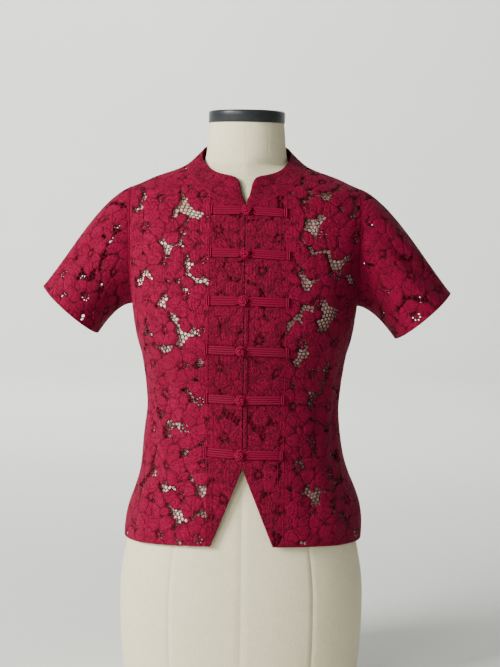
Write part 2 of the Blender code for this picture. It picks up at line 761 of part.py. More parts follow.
def front_outline(limit=None):
    """(height, distance from the middle) round a front piece. A facing stops at its own width."""
    edge = FRONT_OPENING / 2
    path = [(z, edge) for z in np.linspace(NECK_FRONT, VENT_TOP, 19)]
    for share in np.linspace(0, 1, 7)[1:]:
        x = edge + (VENT_HALF_WIDTH - edge) * share
        path.append((VENT_TOP + (hem_height(VENT_HALF_WIDTH) - VENT_TOP) * share, x))
    if limit:
        path += [(hem_height(x), x) for x in np.linspace(VENT_HALF_WIDTH, limit, 3)[1:]]
        path += [(z, limit) for z in np.linspace(hem_height(limit), neck_front_height(limit), 26)[1:]]
        path += [(neck_front_height(x), x) for x in np.linspace(limit, edge, 7)[1:-1]]
        return np.array(path)
    side = TOP_WIDTHS[1][1]
    corner = math.asin(VENT_HALF_WIDTH / side)
    path += [(hem_height(x), x) for x in side * np.sin(np.linspace(corner, QUARTER, 9)[1:-1])]
    path += [(z, None) for z in np.linspace(HEM_SIDE, UNDERARM, 17)]
    heights, distances = armhole_path(17)
    path += list(zip(heights, distances - SEAM_GAP))
    path += [(z, None) for z in SHOULDER_STEPS]
    path += [(neck_front_height(x), x) for x in np.linspace(NECK_HALF_WIDTH - 5, edge, 12)[:-1]]
    return np.array([(z, np.nan if x is None else x) for z, x in path], float)


def front_flat(cloth, path, side):
    """That outline on the flat cloth. A missing distance is on the side or shoulder seam."""
    angles = np.where(np.isnan(path[:, 1]), QUARTER, angle_at(path[:, 0], np.nan_to_num(path[:, 1])))
    columns = angles / QUARTER * (TORSO_COLUMNS - 1)
    if side < 0:
        columns = TORSO_COLUMNS - 1 - columns
    return cloth.flat(row_of(path[:, 0]), SPARE + columns)


def torso_lattice(cloth, columns):
    """Points that carry the body's curve, closer together over the shoulders."""
    heights = [*np.arange(240, 700, 20.5), 706, 716, 724, 731, 737, 743, 749, 755, 761]
    across = np.linspace(SPARE + 1, cloth.across.shape[1] - SPARE - 2, columns)
    rows, cols = np.meshgrid(row_of(heights), across, indexing="ij")
    return cloth.flat(rows.ravel(), cols.ravel())


def open_spots(name, cloth, side):
    """The piece's stretches of bare net, on the flat cloth."""
    rows = np.array([spot[1:] for spot in OPEN_SPOTS if spot[0] == name])
    middles = front_flat(cloth, rows[:, :2], side)
    return np.concatenate([middles, rows[:, 2:]], axis=1)


def front(side, name):
    """One front and the facing behind its opening edge."""
    if side > 0:
        cloth = torso_cloth(name, 0, QUARTER, TORSO_COLUMNS, 0)
    else:
        cloth = torso_cloth(name, -QUARTER, 0, TORSO_COLUMNS, TORSO_COLUMNS - 1)
    outline = inset(front_flat(cloth, front_outline(), side), SEAM_GAP / 2)
    lattice = torso_lattice(cloth, 11)
    beyond_facing = [
        hole
        for hole in net_holes(name, outline, HOLES_CUT[name] * 4, open_spots(name, cloth, side))
        if abs(hole[:, 0]).min() > FACING_WIDTHS[name] + NET_HOLE
    ]
    wall(name, cloth, outline, lattice, beyond_facing[: HOLES_CUT[name]])
    facing = front_flat(cloth, front_outline(FACING_WIDTHS[name]), side)
    behind = -(WALL / 2 + FACING_GAP + FACING_WALL / 2)
    facing_name = name.replace("front", "facing")
    wall(facing_name, cloth, inset(facing, 1.0), lattice, (), FACING_WALL, behind)
    return cloth


def back_cloth(name):
    return torso_cloth(name, QUARTER, 3 * QUARTER, 2 * TORSO_COLUMNS - 1, TORSO_COLUMNS - 1)


def back_flat(cloth):
    """The back's outline on the flat cloth, up its left side, over the neck and down its right side."""
    heights, distances = armhole_path(17)
    half = [(z, None) for z in np.linspace(HEM_SIDE, UNDERARM, 17)]
    half += list(zip(heights, distances - SEAM_GAP))
    half += [(z, None) for z in SHOULDER_STEPS]
    half += [(neck_back_height(x), x) for x in np.linspace(NECK_HALF_WIDTH - 5, 0, 8)[:-1]]
    half = np.array([(z, np.nan if x is None else x) for z, x in half], float)
    angles = QUARTER - angle_at(half[:, 0], np.nan_to_num(half[:, 1]))
    angles = np.where(np.isnan(half[:, 1]), 0, angles)
    left = np.stack([row_of(half[:, 0]), angles / QUARTER * (TORSO_COLUMNS - 1)], axis=1)
    last = 2 * (TORSO_COLUMNS - 1)
    nape = np.array([[row_of(NAPE), last / 2]])
    right = left[::-1] * (1, -1) + (0, last)
    across = last * np.linspace(1, 0, 22)[1:-1]
    hem = np.stack([np.full(len(across), row_of(HEM_SIDE)), across], axis=1)
    chart = np.concatenate([left, nape, right, hem])
    return inset(cloth.flat(chart[:, 0], SPARE + chart[:, 1]), SEAM_GAP / 2)


def back(name):
    """The back, cut in one piece."""
    cloth = back_cloth(name)
    outline = back_flat(cloth)
    wall(name, cloth, outline, torso_lattice(cloth, 21), net_holes(name, outline, HOLES_CUT[name]))


SLEEVE_STEPS = 48


def sleeve_cloth(name, side):
    """A sleeve from its hem up to the armhole, with its top line in the middle of the grid."""
    steps = SLEEVE_STEPS
    turns = math.pi * np.arange(-steps - SPARE, steps + 1 + SPARE) / steps
    shares = 1 - np.arange(-SPARE, steps + 1 + SPARE) / steps
    heights = SLEEVE_MIDDLE + SLEEVE_RISE * np.cos(turns)
    _, front_depth, back_depth, _ = top_sections(heights)
    reach = ARMHOLE_DEPTH * np.abs(np.sin(turns))
    depth = np.where(np.sin(turns) < 0, -reach, reach * back_depth / front_depth)
    start = np.stack([read(ARMHOLE_EDGE, 1, heights) + SLEEVE_GAP, depth, heights], axis=1)
    upward = np.array([math.sin(SLEEVE_SLANT), 0, math.cos(SLEEVE_SLANT)])
    outward = np.array([math.cos(SLEEVE_SLANT), 0, -math.sin(SLEEVE_SLANT)])
    centre = np.array([SLEEVE_HEM_CENTRE[name][0], 0, SLEEVE_HEM_CENTRE[name][1]])
    forward = np.stack([0 * turns, np.sin(turns), 0 * turns], axis=1)
    end = centre + SLEEVE_HEM_HALF_HEIGHT * np.cos(turns)[:, None] * upward
    end = end + SLEEVE_HEM_HALF_DEPTH * forward
    high = (1 + np.cos(turns[:, None])) / 2
    pull = SLEEVE_PULL_UNDER + (SLEEVE_PULL_TOP - SLEEVE_PULL_UNDER) * high
    leaving = np.array([1.0, 0, -0.04]) - high * (0, 0, 0.38) + 0.25 * forward
    leaving /= np.linalg.norm(leaving, axis=1, keepdims=True)
    arriving = outward + 0.10 * forward - (1 - high) * (0.12, 0, 0.05)
    t = shares[:, None, None]
    points = (
        start * (2 * t**3 - 3 * t**2 + 1)
        + leaving * pull * (t**3 - 2 * t**2 + t)
        + end * (3 * t**2 - 2 * t**3)
        + arriving * pull * (t**3 - t**2)
    )
    if side < 0:
        points = points[:, ::-1] * (-1, 1, 1)
    return Cloth(name, points, steps + SPARE)


def sleeve_halves(side):
    """The name of each half of a sleeve, and the column of the grid at which it starts."""
    middle = SLEEVE_STEPS
    return (("front", 0 if side > 0 else middle), ("back", middle if side > 0 else 0))


def sleeve_flat(cloth, first):
    """The outline of half a sleeve on the flat cloth: hem, one seam, armhole and the other seam."""
    across = np.linspace(first, first + SLEEVE_STEPS, 13)
    up = np.linspace(0, SLEEVE_STEPS, 9)
    chart = [(0, c) for c in across]
    chart += [(r, first + SLEEVE_STEPS) for r in up[1:]]
    chart += [(SLEEVE_STEPS, c) for c in across[::-1][1:]]
    chart += [(r, first) for r in up[::-1][1:-1]]
    chart = np.array(chart, float) + SPARE
    return inset(cloth.flat(chart[:, 0], chart[:, 1]), SEAM_GAP / 2)


def sleeve(side, name):
    """A sleeve as two halves that meet along its top line and its underarm seam."""
    cloth = sleeve_cloth(name, side)
    for half, first in sleeve_halves(side):
        outline = sleeve_flat(cloth, first)
        up = SPARE + np.linspace(0, SLEEVE_STEPS, 10)
        across = SPARE + np.linspace(first, first + SLEEVE_STEPS, 13)
        rows, columns = np.meshgrid(up, across, indexing="ij")
        lattice = cloth.flat(rows.ravel(), columns.ravel())
        holes = net_holes(name, outline, HOLES_CUT[name] // 2)
        wall(f"{name}_{half}", cloth, outline, lattice, holes)


COLLAR_SHARES = (-0.05, 1.05)


def collar_cloth(name):
    """The stand collar from its seam to its top edge, from the left front round by the back."""
    turns = np.radians(np.linspace(0, 360, 145))
    fold = np.degrees(np.minimum(turns, 2 * math.pi - turns))
    sine, cosine = np.sin(turns), np.cos(turns)
    base_x = NECK_HALF_WIDTH * sine
    heights = np.where(
        cosine > 0, neck_front_height(np.abs(base_x)), neck_back_height(np.abs(base_x))
    )
    wide, front_depth, back_depth, square = top_sections(heights)
    share = np.clip(1 - (np.abs(base_x) / wide) ** square, 0, None) ** (1 / square)
    depth = np.where(cosine > 0, -front_depth, back_depth) * share
    base = np.stack([base_x, depth, heights], axis=1)
    top = np.stack(
        [
            COLLAR_TOP_HALF_WIDTH * sine,
            np.where(cosine > 0, -COLLAR_TOP_FRONT, -COLLAR_TOP_BACK) * cosine,
            read(COLLAR_TOP, 1, fold),
        ],
        axis=1,
    )
    shares = np.linspace(*COLLAR_SHARES, 23)[:, None, None]
    return Cloth(name, base + (top - base) * shares, 72)


def collar_ends(cloth):
    """The grid rows of the collar's seam and top edge."""
    spread = (cloth.across.shape[0] - 1) / (COLLAR_SHARES[1] - COLLAR_SHARES[0])
    return (COLLAR_SEAM - COLLAR_SHARES[0]) * spread, (1 - COLLAR_SHARES[0]) * spread


def collar_flat(cloth):
    """The collar's outline on the flat cloth: its seam, one rounded front, its top edge, the other."""
    low, high = collar_ends(cloth)
    last = cloth.across.shape[1] - 1
    edge = []
    for share, x in ((COLLAR_SEAM, FRONT_OPENING / 2 + SEAM_GAP), *COLLAR_FRONT_EDGE):
        wide = NECK_HALF_WIDTH + (COLLAR_TOP_HALF_WIDTH - NECK_HALF_WIDTH) * share
        edge.append((low + (high - low) * share, math.degrees(math.asin(x / wide)) / 360 * last))
    edge = np.array(edge)
    far = edge * (1, -1) + (0, last)
    seam = np.linspace(edge[0, 1], far[0, 1], 45)[1:-1]
    top = np.linspace(far[-1, 1], edge[-1, 1], 39)[1:-1]
    seam = np.stack([np.full(len(seam), low), seam], axis=1)
    top = np.stack([np.full(len(top), high), top], axis=1)
    chart = np.concatenate([seam, far, top, edge[::-1]])
    return cloth.flat(chart[:, 0], chart[:, 1])


def collar(name):
    cloth = collar_cloth(name)
    low, high = collar_ends(cloth)
    across = np.linspace(3, cloth.across.shape[1] - 4, 41)
    rows, columns = np.meshgrid(np.linspace(low, high, 4)[1:-1], across, indexing="ij")
    lattice = cloth.flat(rows.ravel(), columns.ravel())
    wall(name, cloth, collar_flat(cloth), lattice, spacing=4.0)


def strap(name, cloth, height, start, end, tilt, side):
    """A frog's flat braid of narrow ribs, laid on the front from near the opening outwards."""
    lift = WALL / 2 + TRIM_GAP
    steps = 2 * STRAP_RIBS + 1
    beside = np.linspace(-STRAP_WIDTH / 2, STRAP_WIDTH / 2, steps)
    rise = np.array([STRAP_RIB if n % 2 else STRAP_VALLEY for n in range(steps)])
    rise[[0, -1]] = STRAP_EDGE
    profile = [(b, lift + r) for b, r in zip(beside, rise)]
    profile += [(b, lift) for b in (STRAP_WIDTH / 2, 0.0, -STRAP_WIDTH / 2)]
    rings = []
    slope = math.tan(math.radians(tilt))
    for along in np.linspace(start, end, 5):
        middle = flat_height(cloth, height) + slope * along
        flat = np.array([(side * along, middle + b) for b, _ in profile])
        rows, columns = cloth.locate(flat)
        rings.append(cloth.place(rows, columns, np.array([[out] for _, out in profile])))
    return loft(name, rings, CRIMSON_TRIM)


def flat_height(cloth, height):
    """How far up the flat cloth the opening edge is at a height."""
    zero = int(np.abs(cloth.across[0]).argmin())
    return float(np.interp(height, HEIGHTS, cloth.up[:, zero]))


def wrap(name, cloth, height, along, tilt, side):
    """The bound end of a frog's braid."""
    lift = WALL / 2 + TRIM_GAP
    half_w, half_h = WRAP_WIDTH / 2, WRAP_HEIGHT / 2
    centre_up = flat_height(cloth, height) + math.tan(math.radians(tilt)) * along
    rings = []
    for scale, out in ((1.0, lift), (1.0, lift + WRAP_THICKNESS * 0.6), (0.72, lift + WRAP_THICKNESS)):
        ring = [
            (side * along + half_w * scale * x, centre_up + (half_h - (1 - scale) * half_w) * y)
            for x, y in ((-1, -1), (-1, 0), (-1, 1), (0, 1), (1, 1), (1, 0), (1, -1), (0, -1))
        ]
        rows, columns = cloth.locate(np.array(ring))
        rings.append(cloth.place(rows, columns, out))
    return loft(name, rings, CRIMSON_TRIM)


def knot(name, cloth, height, along):
    """The knotted ball that holds a frog closed, standing just proud of both fronts."""
    up = flat_height(cloth, height)
    rows, columns = cloth.locate(np.array([[along, up]]))
    lift = WALL / 2 + TRIM_GAP + KNOT_DEPTH * math.sin(KNOT_LEVELS[-1])
    centre = cloth.place(rows, columns, lift)[0]
    out = cloth.sample(cloth.normals, rows, columns)[0]
    across = np.array([1.0, 0, 0]) - out * out[0]
    across /= np.linalg.norm(across)
    upward = np.cross(out, across)
    rings = []
    for level in KNOT_LEVELS:
        turns = np.linspace(0, 2 * math.pi, 13)[:-1]
        lobes = 1 + 0.05 * np.cos(4 * turns)
        radius = KNOT_RADIUS * math.cos(level) * lobes
        ring = centre + out * KNOT_DEPTH * math.sin(level)
        ring = ring + across * (radius * np.cos(turns))[:, None]
        rings.append(ring + upward * (radius * np.sin(turns))[:, None])
    return loft(name, rings, CRIMSON_TRIM)


def frogs(left, right):
    for number, (height, middle, *straps) in enumerate(FROGS, 1):
        knot(f"frog_{number}_knot", right, height, middle)
        sides = (("right", right, -1, *straps[:2]), ("left", left, 1, *straps[2:]))
        for word, cloth, side, end, tilt in sides:
            start = side * middle + KNOT_RADIUS + STRAP_CLEAR
            strap(f"frog_{number}_strap_{word}", cloth, height, start, end, tilt, side)
            wrap(f"frog_{number}_end_{word}", cloth, height, end + SEAM_GAP + WRAP_WIDTH / 2, tilt, side)


def dress_form():
    """The limbless form, padded and covered, and the cap on its neck."""
    heights = np.array(FORM_LEVELS, float)
    turns = np.linspace(0, 2 * math.pi, FORM_SIDES + 1)[:-1]
    points = section_points(form_sections(heights), heights, turns)
    chest = heights > UNDERARM - 100
    points[chest, :, 0] = np.clip(points[chest, :, 0], -FORM_ARM_PLATE, FORM_ARM_PLATE)
    bottom = points[0].copy()
    bottom[:, :2] *= 1 - FORM_EDGE / np.linalg.norm(bottom[:, :2], axis=1, keepdims=True)
    points[0] = bottom
    loft("dress_form", list(points), LINEN)
    rings = []
    start = FORM_TOP + SEAM_GAP
    for radius, height in (
        (CAP_RADIUS - CAP_EDGE, start),
        (CAP_RADIUS, start + CAP_EDGE),
        (CAP_RADIUS, start + CAP_HEIGHT - CAP_EDGE),
        (CAP_RADIUS - CAP_EDGE, start + CAP_HEIGHT),
    ):
        ring = [(radius * math.sin(a), -radius * math.cos(a), height) for a in turns]
        rings.append(np.array(ring))
    loft("neck_cap", rings, CAP_BLACK, roughness=0.35)


def main():
    for old in list(bpy.data.objects):
        bpy.data.objects.remove(old)
    dress_form()
    left = front(1, "front_left")
    right = front(-1, "front_right")
    back("back")
    sleeve(1, "sleeve_left")
    sleeve(-1, "sleeve_right")
    collar("collar")
    frogs(left, right)


main()
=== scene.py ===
"""A lace top on a dress form: corded lace, braided frogs, a linen-covered form and a black cap.

Tables and sizes are in millimetres. +X is the wearer's left, and the front faces -Y.
"""

import math

import bmesh
import bpy
import numpy as np
from mathutils import Matrix, Vector, geometry


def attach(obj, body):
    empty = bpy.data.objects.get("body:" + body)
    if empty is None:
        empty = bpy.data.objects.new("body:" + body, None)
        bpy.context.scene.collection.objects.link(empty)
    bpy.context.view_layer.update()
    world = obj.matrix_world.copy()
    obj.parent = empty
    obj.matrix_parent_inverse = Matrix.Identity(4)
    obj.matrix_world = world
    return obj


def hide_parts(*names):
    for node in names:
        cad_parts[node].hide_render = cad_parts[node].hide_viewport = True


MM = 0.001

# The cloth
WALL = 1.2
FACING_WALL = 1.0
FACING_GAP = 0.8
SEAM_GAP = 0.3
FRONT_OPENING = 0.4
FACING_WIDTHS = {"front_left": 58.0, "front_right": 50.0}

# Heights on the worn top
HEM_SIDE = 222.0
HEM_RISE_FRONT = 7.5
VENT_TOP = 336.0
VENT_HALF_WIDTH = 43.5
UNDERARM = 561.0
SHOULDER_TIP = 728.0
NECK_SIDE = 760.0
NECK_FRONT = 706.0
NAPE = 770.0
NECK_HALF_WIDTH = 87.0
NECK_CURVE = 2.2
ARMHOLE_DEPTH = 52.0

# Half width of the top at each height, below the underarm and above the shoulder tip
TOP_WIDTHS = (
    # height, half width
    (205, 171.0),
    (222, 171.5),
    (245, 170.0),
    (268, 165.0),
    (291, 156.5),
    (315, 148.5),
    (338, 144.0),
    (361, 141.5),
    (384, 139.5),
    (410, 138.0),
    (442, 140.5),
    (465, 143.5),
    (489, 147.5),
    (512, 154.0),
    (535, 158.5),
    (561, 162.0),
)
SHOULDER_WIDTHS = (
    # height, half width
    (728, 165.5),
    (732, 155.5),
    (744, 129.0),
    (755, 97.5),
    (760, 87.0),
    (766, 77.0),
    (774, 68.0),
)
# How far the armhole's edge lies from the middle
ARMHOLE_EDGE = (
    # height, distance
    (561, 162.0),
    (645, 163.5),
    (700, 165.0),
    (728, 165.5),
)
# Depth of the top in front of and behind the form's axis, and how square its section is
TOP_DEPTHS = (
    # height, front, back, squareness
    (205, 121.0, 130.0, 2.20),
    (245, 120.0, 127.0, 2.20),
    (291, 115.0, 115.0, 2.20),
    (338, 108.5, 102.0, 2.20),
    (410, 103.5, 92.5, 2.25),
    (442, 107.0, 93.0, 2.35),
    (489, 122.0, 97.0, 2.50),
    (520, 130.0, 100.5, 2.55),
    (561, 127.0, 104.5, 2.45),
    (600, 116.0, 107.0, 2.30),
    (650, 98.5, 105.0, 2.20),
    (690, 81.0, 98.0, 2.10),
    (728, 66.5, 84.0, 1.80),
    (744, 61.0, 75.0, 1.55),
    (760, 57.5, 65.0, 1.50),
    (774, 56.0, 60.0, 1.70),
)
# The dress form's own sections
FORM_WIDTHS = (
    # height, half width
    (0, 168.0),
    (50, 175.0),
    (110, 178.0),
    (170, 176.0),
    (222, 166.5),
    (268, 157.0),
    (315, 141.0),
    (361, 130.0),
    (410, 125.5),
    (442, 128.0),
    (489, 137.0),
    (520, 145.0),
    (561, 153.0),
)
FORM_NECK_WIDTHS = (
    # height, half width
    (728, 161.0),
    (732, 152.2),
    (744, 125.7),
    (755, 93.3),
    (760, 75.0),
    (764, 63.5),
    (768, 60.0),
    (774, 58.0),
    (786, 56.5),
    (803, 55.3),
    (823, 53.6),
)
FORM_DEPTHS = (
    # height, front, back, squareness
    (0, 106.0, 116.0, 2.20),
    (50, 111.0, 122.0, 2.20),
    (110, 114.0, 127.0, 2.20),
    (170, 115.0, 127.0, 2.20),
    (222, 113.5, 124.0, 2.20),
    (291, 105.0, 107.0, 2.20),
    (338, 97.0, 93.0, 2.20),
    (410, 91.0, 84.0, 2.25),
    (442, 95.0, 85.0, 2.35),
    (489, 116.0, 90.0, 2.50),
    (520, 125.5, 94.0, 2.55),
    (561, 122.5, 98.0, 2.45),
    (600, 111.5, 101.0, 2.30),
    (650, 93.5, 99.5, 2.20),
    (690, 76.0, 92.5, 2.10),
    (728, 60.0, 79.0, 1.80),
    (744, 54.0, 69.0, 1.45),
    (760, 52.0, 57.5, 1.38),
    (768, 52.0, 55.0, 1.65),
    (776, 52.5, 54.0, 1.90),
    (790, 53.0, 53.0, 2.00),
    (823, 52.5, 52.0, 2.00),
)
FORM_ARM_PLATE = 159.5
FORM_ARMHOLE_INSET = 4.0
FORM_TOP = 821.0
FORM_LEVELS = (
    0, 4, 50, 110, 170, 222, 268, 315, 361, 410, 450, 489, 520, 561, 600, 645,
    690, 712, 728, 738, 747, 755, 760, 764, 769, 776, 790, FORM_TOP,
)  # fmt: skip
FORM_EDGE = 4.0
CAP_RADIUS = 55.0
CAP_HEIGHT = 17.0

# Stand collar: its seam follows the neckline, and its top edge rises to the back
COLLAR_TOP = (
    # degrees from the front, height of the top edge
    (0, 744.0),
    (17, 745.5),
    (35, 749.0),
    (51, 754.5),
    (66, 763.0),
    (90, 777.0),
    (110, 786.5),
    (140, 794.0),
    (180, 798.0),
)
COLLAR_TOP_HALF_WIDTH = 63.5
COLLAR_TOP_FRONT = 60.5
COLLAR_TOP_BACK = 59.0
COLLAR_SEAM = 0.024
COLLAR_FRONT_EDGE = (
    # share of the way up, distance from the middle
    (0.30, 5.2),
    (0.55, 7.4),
    (0.75, 9.2),
    (0.87, 11.4),
    (0.955, 15.0),
    (1.00, 20.5),
)

# Short set-in sleeves, each held open by its own stiffness
SLEEVE_GAP = 0.9
SLEEVE_MIDDLE = 644.5
SLEEVE_RISE = 83.5
SLEEVE_HEM_CENTRE = {"sleeve_left": (258.5, 547.5), "sleeve_right": (252.0, 550.5)}
SLEEVE_HEM_HALF_HEIGHT = 51.5
SLEEVE_HEM_HALF_DEPTH = 62.0
SLEEVE_SLANT = math.radians(49.0)
SLEEVE_PULL_TOP = 150.0
SLEEVE_PULL_UNDER = 62.0

# Frogs: where each pair sits
FROGS = (
    # height, place of the knot, end and tilt of the wearer's right strap, end and tilt of the left strap
    (697, 2.6, 45.5, 0.5, 53.0, -3.0),
    (638, 1.0, 45.5, 1.0, 57.0, -2.5),
    (573, -0.6, 46.5, 1.0, 56.0, -1.0),
    (505, -3.2, 48.5, 3.0, 57.0, -1.0),
    (434, -3.2, 48.5, 3.0, 52.0, 1.0),
    (357, -3.2, 49.0, 4.0, 51.0, -0.5),
)
STRAP_WIDTH = 13.0
STRAP_CLEAR = 1.4
STRAP_RIB = 2.0
TRIM_GAP = 0.5
WRAP_WIDTH = 5.5
WRAP_HEIGHT = 14.5
WRAP_THICKNESS = 2.5
KNOT_RADIUS = 5.8

# Lace: flowers on a loose lattice, leaves between some of them, and net in what is left
FLOWER_PITCH = (57.0, 49.0)
FLOWER_STRAY = (12.0, 10.0)
FLOWER_RADIUS = (27.0, 31.0)
EYE_REACH = 7.0
PETALS_FEWEST = 5
PETALS_MORE = 1.7
PETAL_REACH = (0.88, 1.16)
PETAL_SPREAD = 1.07
LEAF_SHARE = 0.60
LEAF_LENGTH = (9.0, 13.0)
LEAF_WIDTH = (4.5, 6.5)
SPOT_PUSH = 0.7
SPOT_LEAST = 0.7
DRIFT = 2.4
DRIFT_RUN = (8.5, 8.1)
DRIFT_TURN = (21.0, 19.0)
NET_PITCH = (5.8, 5.05)
NET_HOLE = 2.6
LACE_SHIFT = {
    # piece: how far its cut lies from the lattice's own zero, across and up
    "front_left": (7.0, 12.0),
    "front_right": (31.0, 3.0),
    "back": (19.0, 20.0),
    "sleeve_left": (11.0, 30.0),
    "sleeve_right": (40.0, 8.0),
    "collar": (5.0, 2.0),
}
OPEN_SPOTS = {
    # height, distance from the middle, half width, half height of each stretch of bare net
    "front_right": (
        (700, 90, 4.2, 5.2),
        (686, 80, 5.2, 4.9),
        (690, 68, 5.6, 4.3),
        (666, 80, 3.0, 11.7),
        (646, 90, 6.1, 4.2),
        (644, 112, 7.5, 3.4),
        (624, 76, 3.8, 5.2),
        (700, 152, 5.7, 5.2),
        (602, 146, 5.2, 7.8),
        (570, 132, 7.5, 3.0),
        (566, 114, 6.7, 5.9),
        (550, 100, 5.8, 8.1),
        (584, 86, 4.3, 7.1),
        (532, 94, 7.4, 5.9),
        (528, 74, 10.2, 3.9),
        (502, 102, 3.0, 7.0),
        (486, 66, 3.3, 6.1),
        (436, 74, 7.6, 4.1),
        (392, 94, 4.2, 4.9),
        (308, 100, 10.0, 4.3),
        (316, 80, 8.6, 2.5),
        (270, 94, 4.3, 5.3),
        (264, 80, 8.2, 2.8),
    ),
    "front_left": (
        (714, 84, 8.0, 3.6),
        (716, 114, 9.5, 8.7),
        (682, 94, 8.0, 7.9),
        (686, 106, 5.7, 7.1),
        (668, 98, 4.6, 5.8),
        (692, 150, 6.1, 3.9),
        (654, 164, 6.6, 4.8),
        (638, 100, 4.7, 4.2),
        (626, 128, 11.9, 7.6),
        (610, 132, 8.4, 6.5),
        (614, 74, 5.2, 5.6),
        (600, 86, 8.9, 6.3),
        (566, 94, 5.2, 6.9),
        (564, 114, 8.4, 6.2),
        (548, 110, 7.5, 7.6),
        (532, 114, 4.9, 4.9),
        (502, 80, 10.1, 8.4),
        (486, 74, 5.2, 7.2),
        (474, 116, 12.2, 3.6),
        (430, 96, 7.5, 6.3),
        (360, 104, 4.8, 11.6),
        (344, 78, 8.9, 4.9),
        (298, 102, 8.9, 6.1),
        (286, 104, 5.4, 4.6),
        (314, 134, 6.9, 3.2),
    ),
}

# Soft folds: where each runs on its piece, its slant from upright, its reach and its depth
FOLDS = (
    # piece, across, up, slant, half length, half width, depth
    ("front_left", 118.0, 430.0, 10.0, 70.0, 11.0, -3.0),
    ("front_left", 150.0, 400.0, 4.0, 85.0, 9.0, -3.0),
    ("front_left", 96.0, 300.0, -8.0, 60.0, 14.0, -2.5),
    ("front_left", 140.0, 262.0, -6.0, 45.0, 12.0, 3.0),
    ("front_right", -112.0, 440.0, -12.0, 65.0, 11.0, -3.0),
    ("front_right", -146.0, 395.0, -5.0, 80.0, 9.0, -3.0),
    ("front_right", -90.0, 296.0, 9.0, 55.0, 14.0, -2.5),
    ("front_right", -150.0, 270.0, 6.0, 45.0, 12.0, 2.5),
    ("back", -70.0, 400.0, 6.0, 90.0, 13.0, -3.5),
    ("back", 66.0, 410.0, -5.0, 95.0, 13.0, -3.5),
    ("back", 0.0, 420.0, 2.0, 60.0, 16.0, -2.5),
    ("back", 118.0, 300.0, -5.0, 60.0, 14.0, 2.5),
    ("back", -124.0, 306.0, 6.0, 60.0, 14.0, 2.5),
    ("front_left", 219.0, 288.0, -17.0, 60.0, 45.0, 8.0),
    ("back", -219.5, 288.0, 22.0, 60.0, 45.0, 8.0),
    ("front_right", -197.0, 369.0, 17.0, 50.0, 40.0, 3.5),
    ("back", 190.0, 369.0, -22.0, 50.0, 40.0, 3.5),
    ("sleeve_left", -62.0, 96.0, -14.0, 60.0, 12.0, -5.0),
    ("sleeve_left", -30.0, 60.0, -8.0, 55.0, 10.0, 2.5),
    ("sleeve_left", 66.0, 90.0, 12.0, 55.0, 12.0, -4.0),
    ("sleeve_right", 60.0, 98.0, 14.0, 60.0, 12.0, -5.0),
    ("sleeve_right", 28.0, 58.0, 8.0, 55.0, 10.0, 2.5),
    ("sleeve_right", -66.0, 92.0, -12.0, 55.0, 12.0, -4.0),
)

FACING_INSET = 1.0

# Lace in relief: heights out from the middle of the cloth, and sizes of what stands in relief
PETAL_GAP = 0.3
CORD_TO_CREST = 0.8
NET_FRONT = 0.25
INNER_FACE = -0.45
PETAL_FOOT = 0.42
CREST = 0.72
PETAL_FLOOR = 0.6
EDGE_ROLL = 0.8
EDGE_WIDTH = 1.1
RING_POINTS = 20
WAVE = 0.085
WAVES_FEWEST = 5
WAVES_MORE = 4
NEIGHBOURS = 14
SMALLEST_PETAL = 3.2
LEAST_REACH = 0.6
LEAST_CREST = 0.3
DISHED_PETAL = 5.0
DISH_SHARE = 0.62
NEAR_OUTLINE = 18.0
HOLE_MARGIN = 3.6
SMALLEST_HOLE = 0.85
SHORTEST_HOLE = 0.3
WHOLE_HOLE = 0.97
CELL_CLEAR = 1.07
EYE_CLEAR = 1.35
EYE_HOLE_CLEAR = 1.15
EYE_DISC = 2.9
EYE_HOLES = 7
EYE_HOLE = 1.25
EYE_RING = 5.2
OUTLINE_STEP = 4.0
COLLAR_INNER = -0.6
INNER_DEPTH = 0.35
HALVINGS = 14
CELL_HALVINGS = 9
CELL_SIDES = 12
TONES = {"wall": 0.5, "edge": 0.4, "eye": 0.6, "net": 0.2, "eye hole": 0.3}
FACING_STEP = 8.0
FACING_CLEAR = 3.0
FACING_DEPTH = 2.0

# Braids: the points and fullness of a rib, its foot and edge as shares of its height
RIB_POINTS = 5
RIB_FULLNESS = 0.7
RIB_FOOT = 0.55
BRAID_EDGE = 0.3
BRAID_STEP = 1.5
TAPER_HEIGHT = 0.6
STRAP_SEWN_RIBS = 4
STRAP_TAPERS = ((5.0, 0.6), (2.2, 0.8))
WRAP_RIBS = 2
WRAP_TAPER = (1.6, 0.45)
FOLD_TAPER = (6.0, 0.5)
FOLD_WIDTH = 5.6
FOLD_HEIGHT = 0.55
FOLD_FROM_MIDDLE = 3.3
FOLD_END = 9.0

# Cords are shaded round, but not over a bend sharper than this
SHARP_ANGLE = math.radians(55)

# Knots and loops of the frogs
CORD_RADIUS = 1.25
LOOP_RADIUS = 7.2
KNOT_TURNS = (3, 4)
KNOT_RING = 3.0
KNOT_SWING = 2.05
KNOT_CORD = 1.4
KNOT_HEIGHT = 2.1
KNOT_POINTS = 193
KNOT_CORE = 1.0
KNOT_CORE_RISE = 1.25
LOOP_TURN = (38, 322)
LOOP_POINTS = 40
LOOP_FLATNESS = 0.92
LOOP_RISE = 0.6
LOOP_ROOT = (4.0, 2.4, 0.8)

# Sewn seams: how far out of the cloth's middle each lies, and its radius
SEWN = {
    "armhole": (0.3, 1.15),
    "side": (-0.25, 0.85),
    "shoulder": (-0.25, 0.85),
    "sleeve": (-0.2, 0.8),
    "neck": (-0.3, 1.5),
}
NECK_SEAM_DROP = 0.35
CROSSING_RADIUS = 2.2
CROSSING_STEPS = (-1.0, 1.0, 3.0, 5.0)
CROSSING_START = (-2.2, -1.9)
CROSSING_SLOPE = 0.42
# What shows of a facing through its front: its distance inside the facing's edge, and its radius
FACING_LINES = {"stitches": (8.5, 0.45), "edge": (0.5, 0.55)}
FACING_LINE_ENDS = 3.0

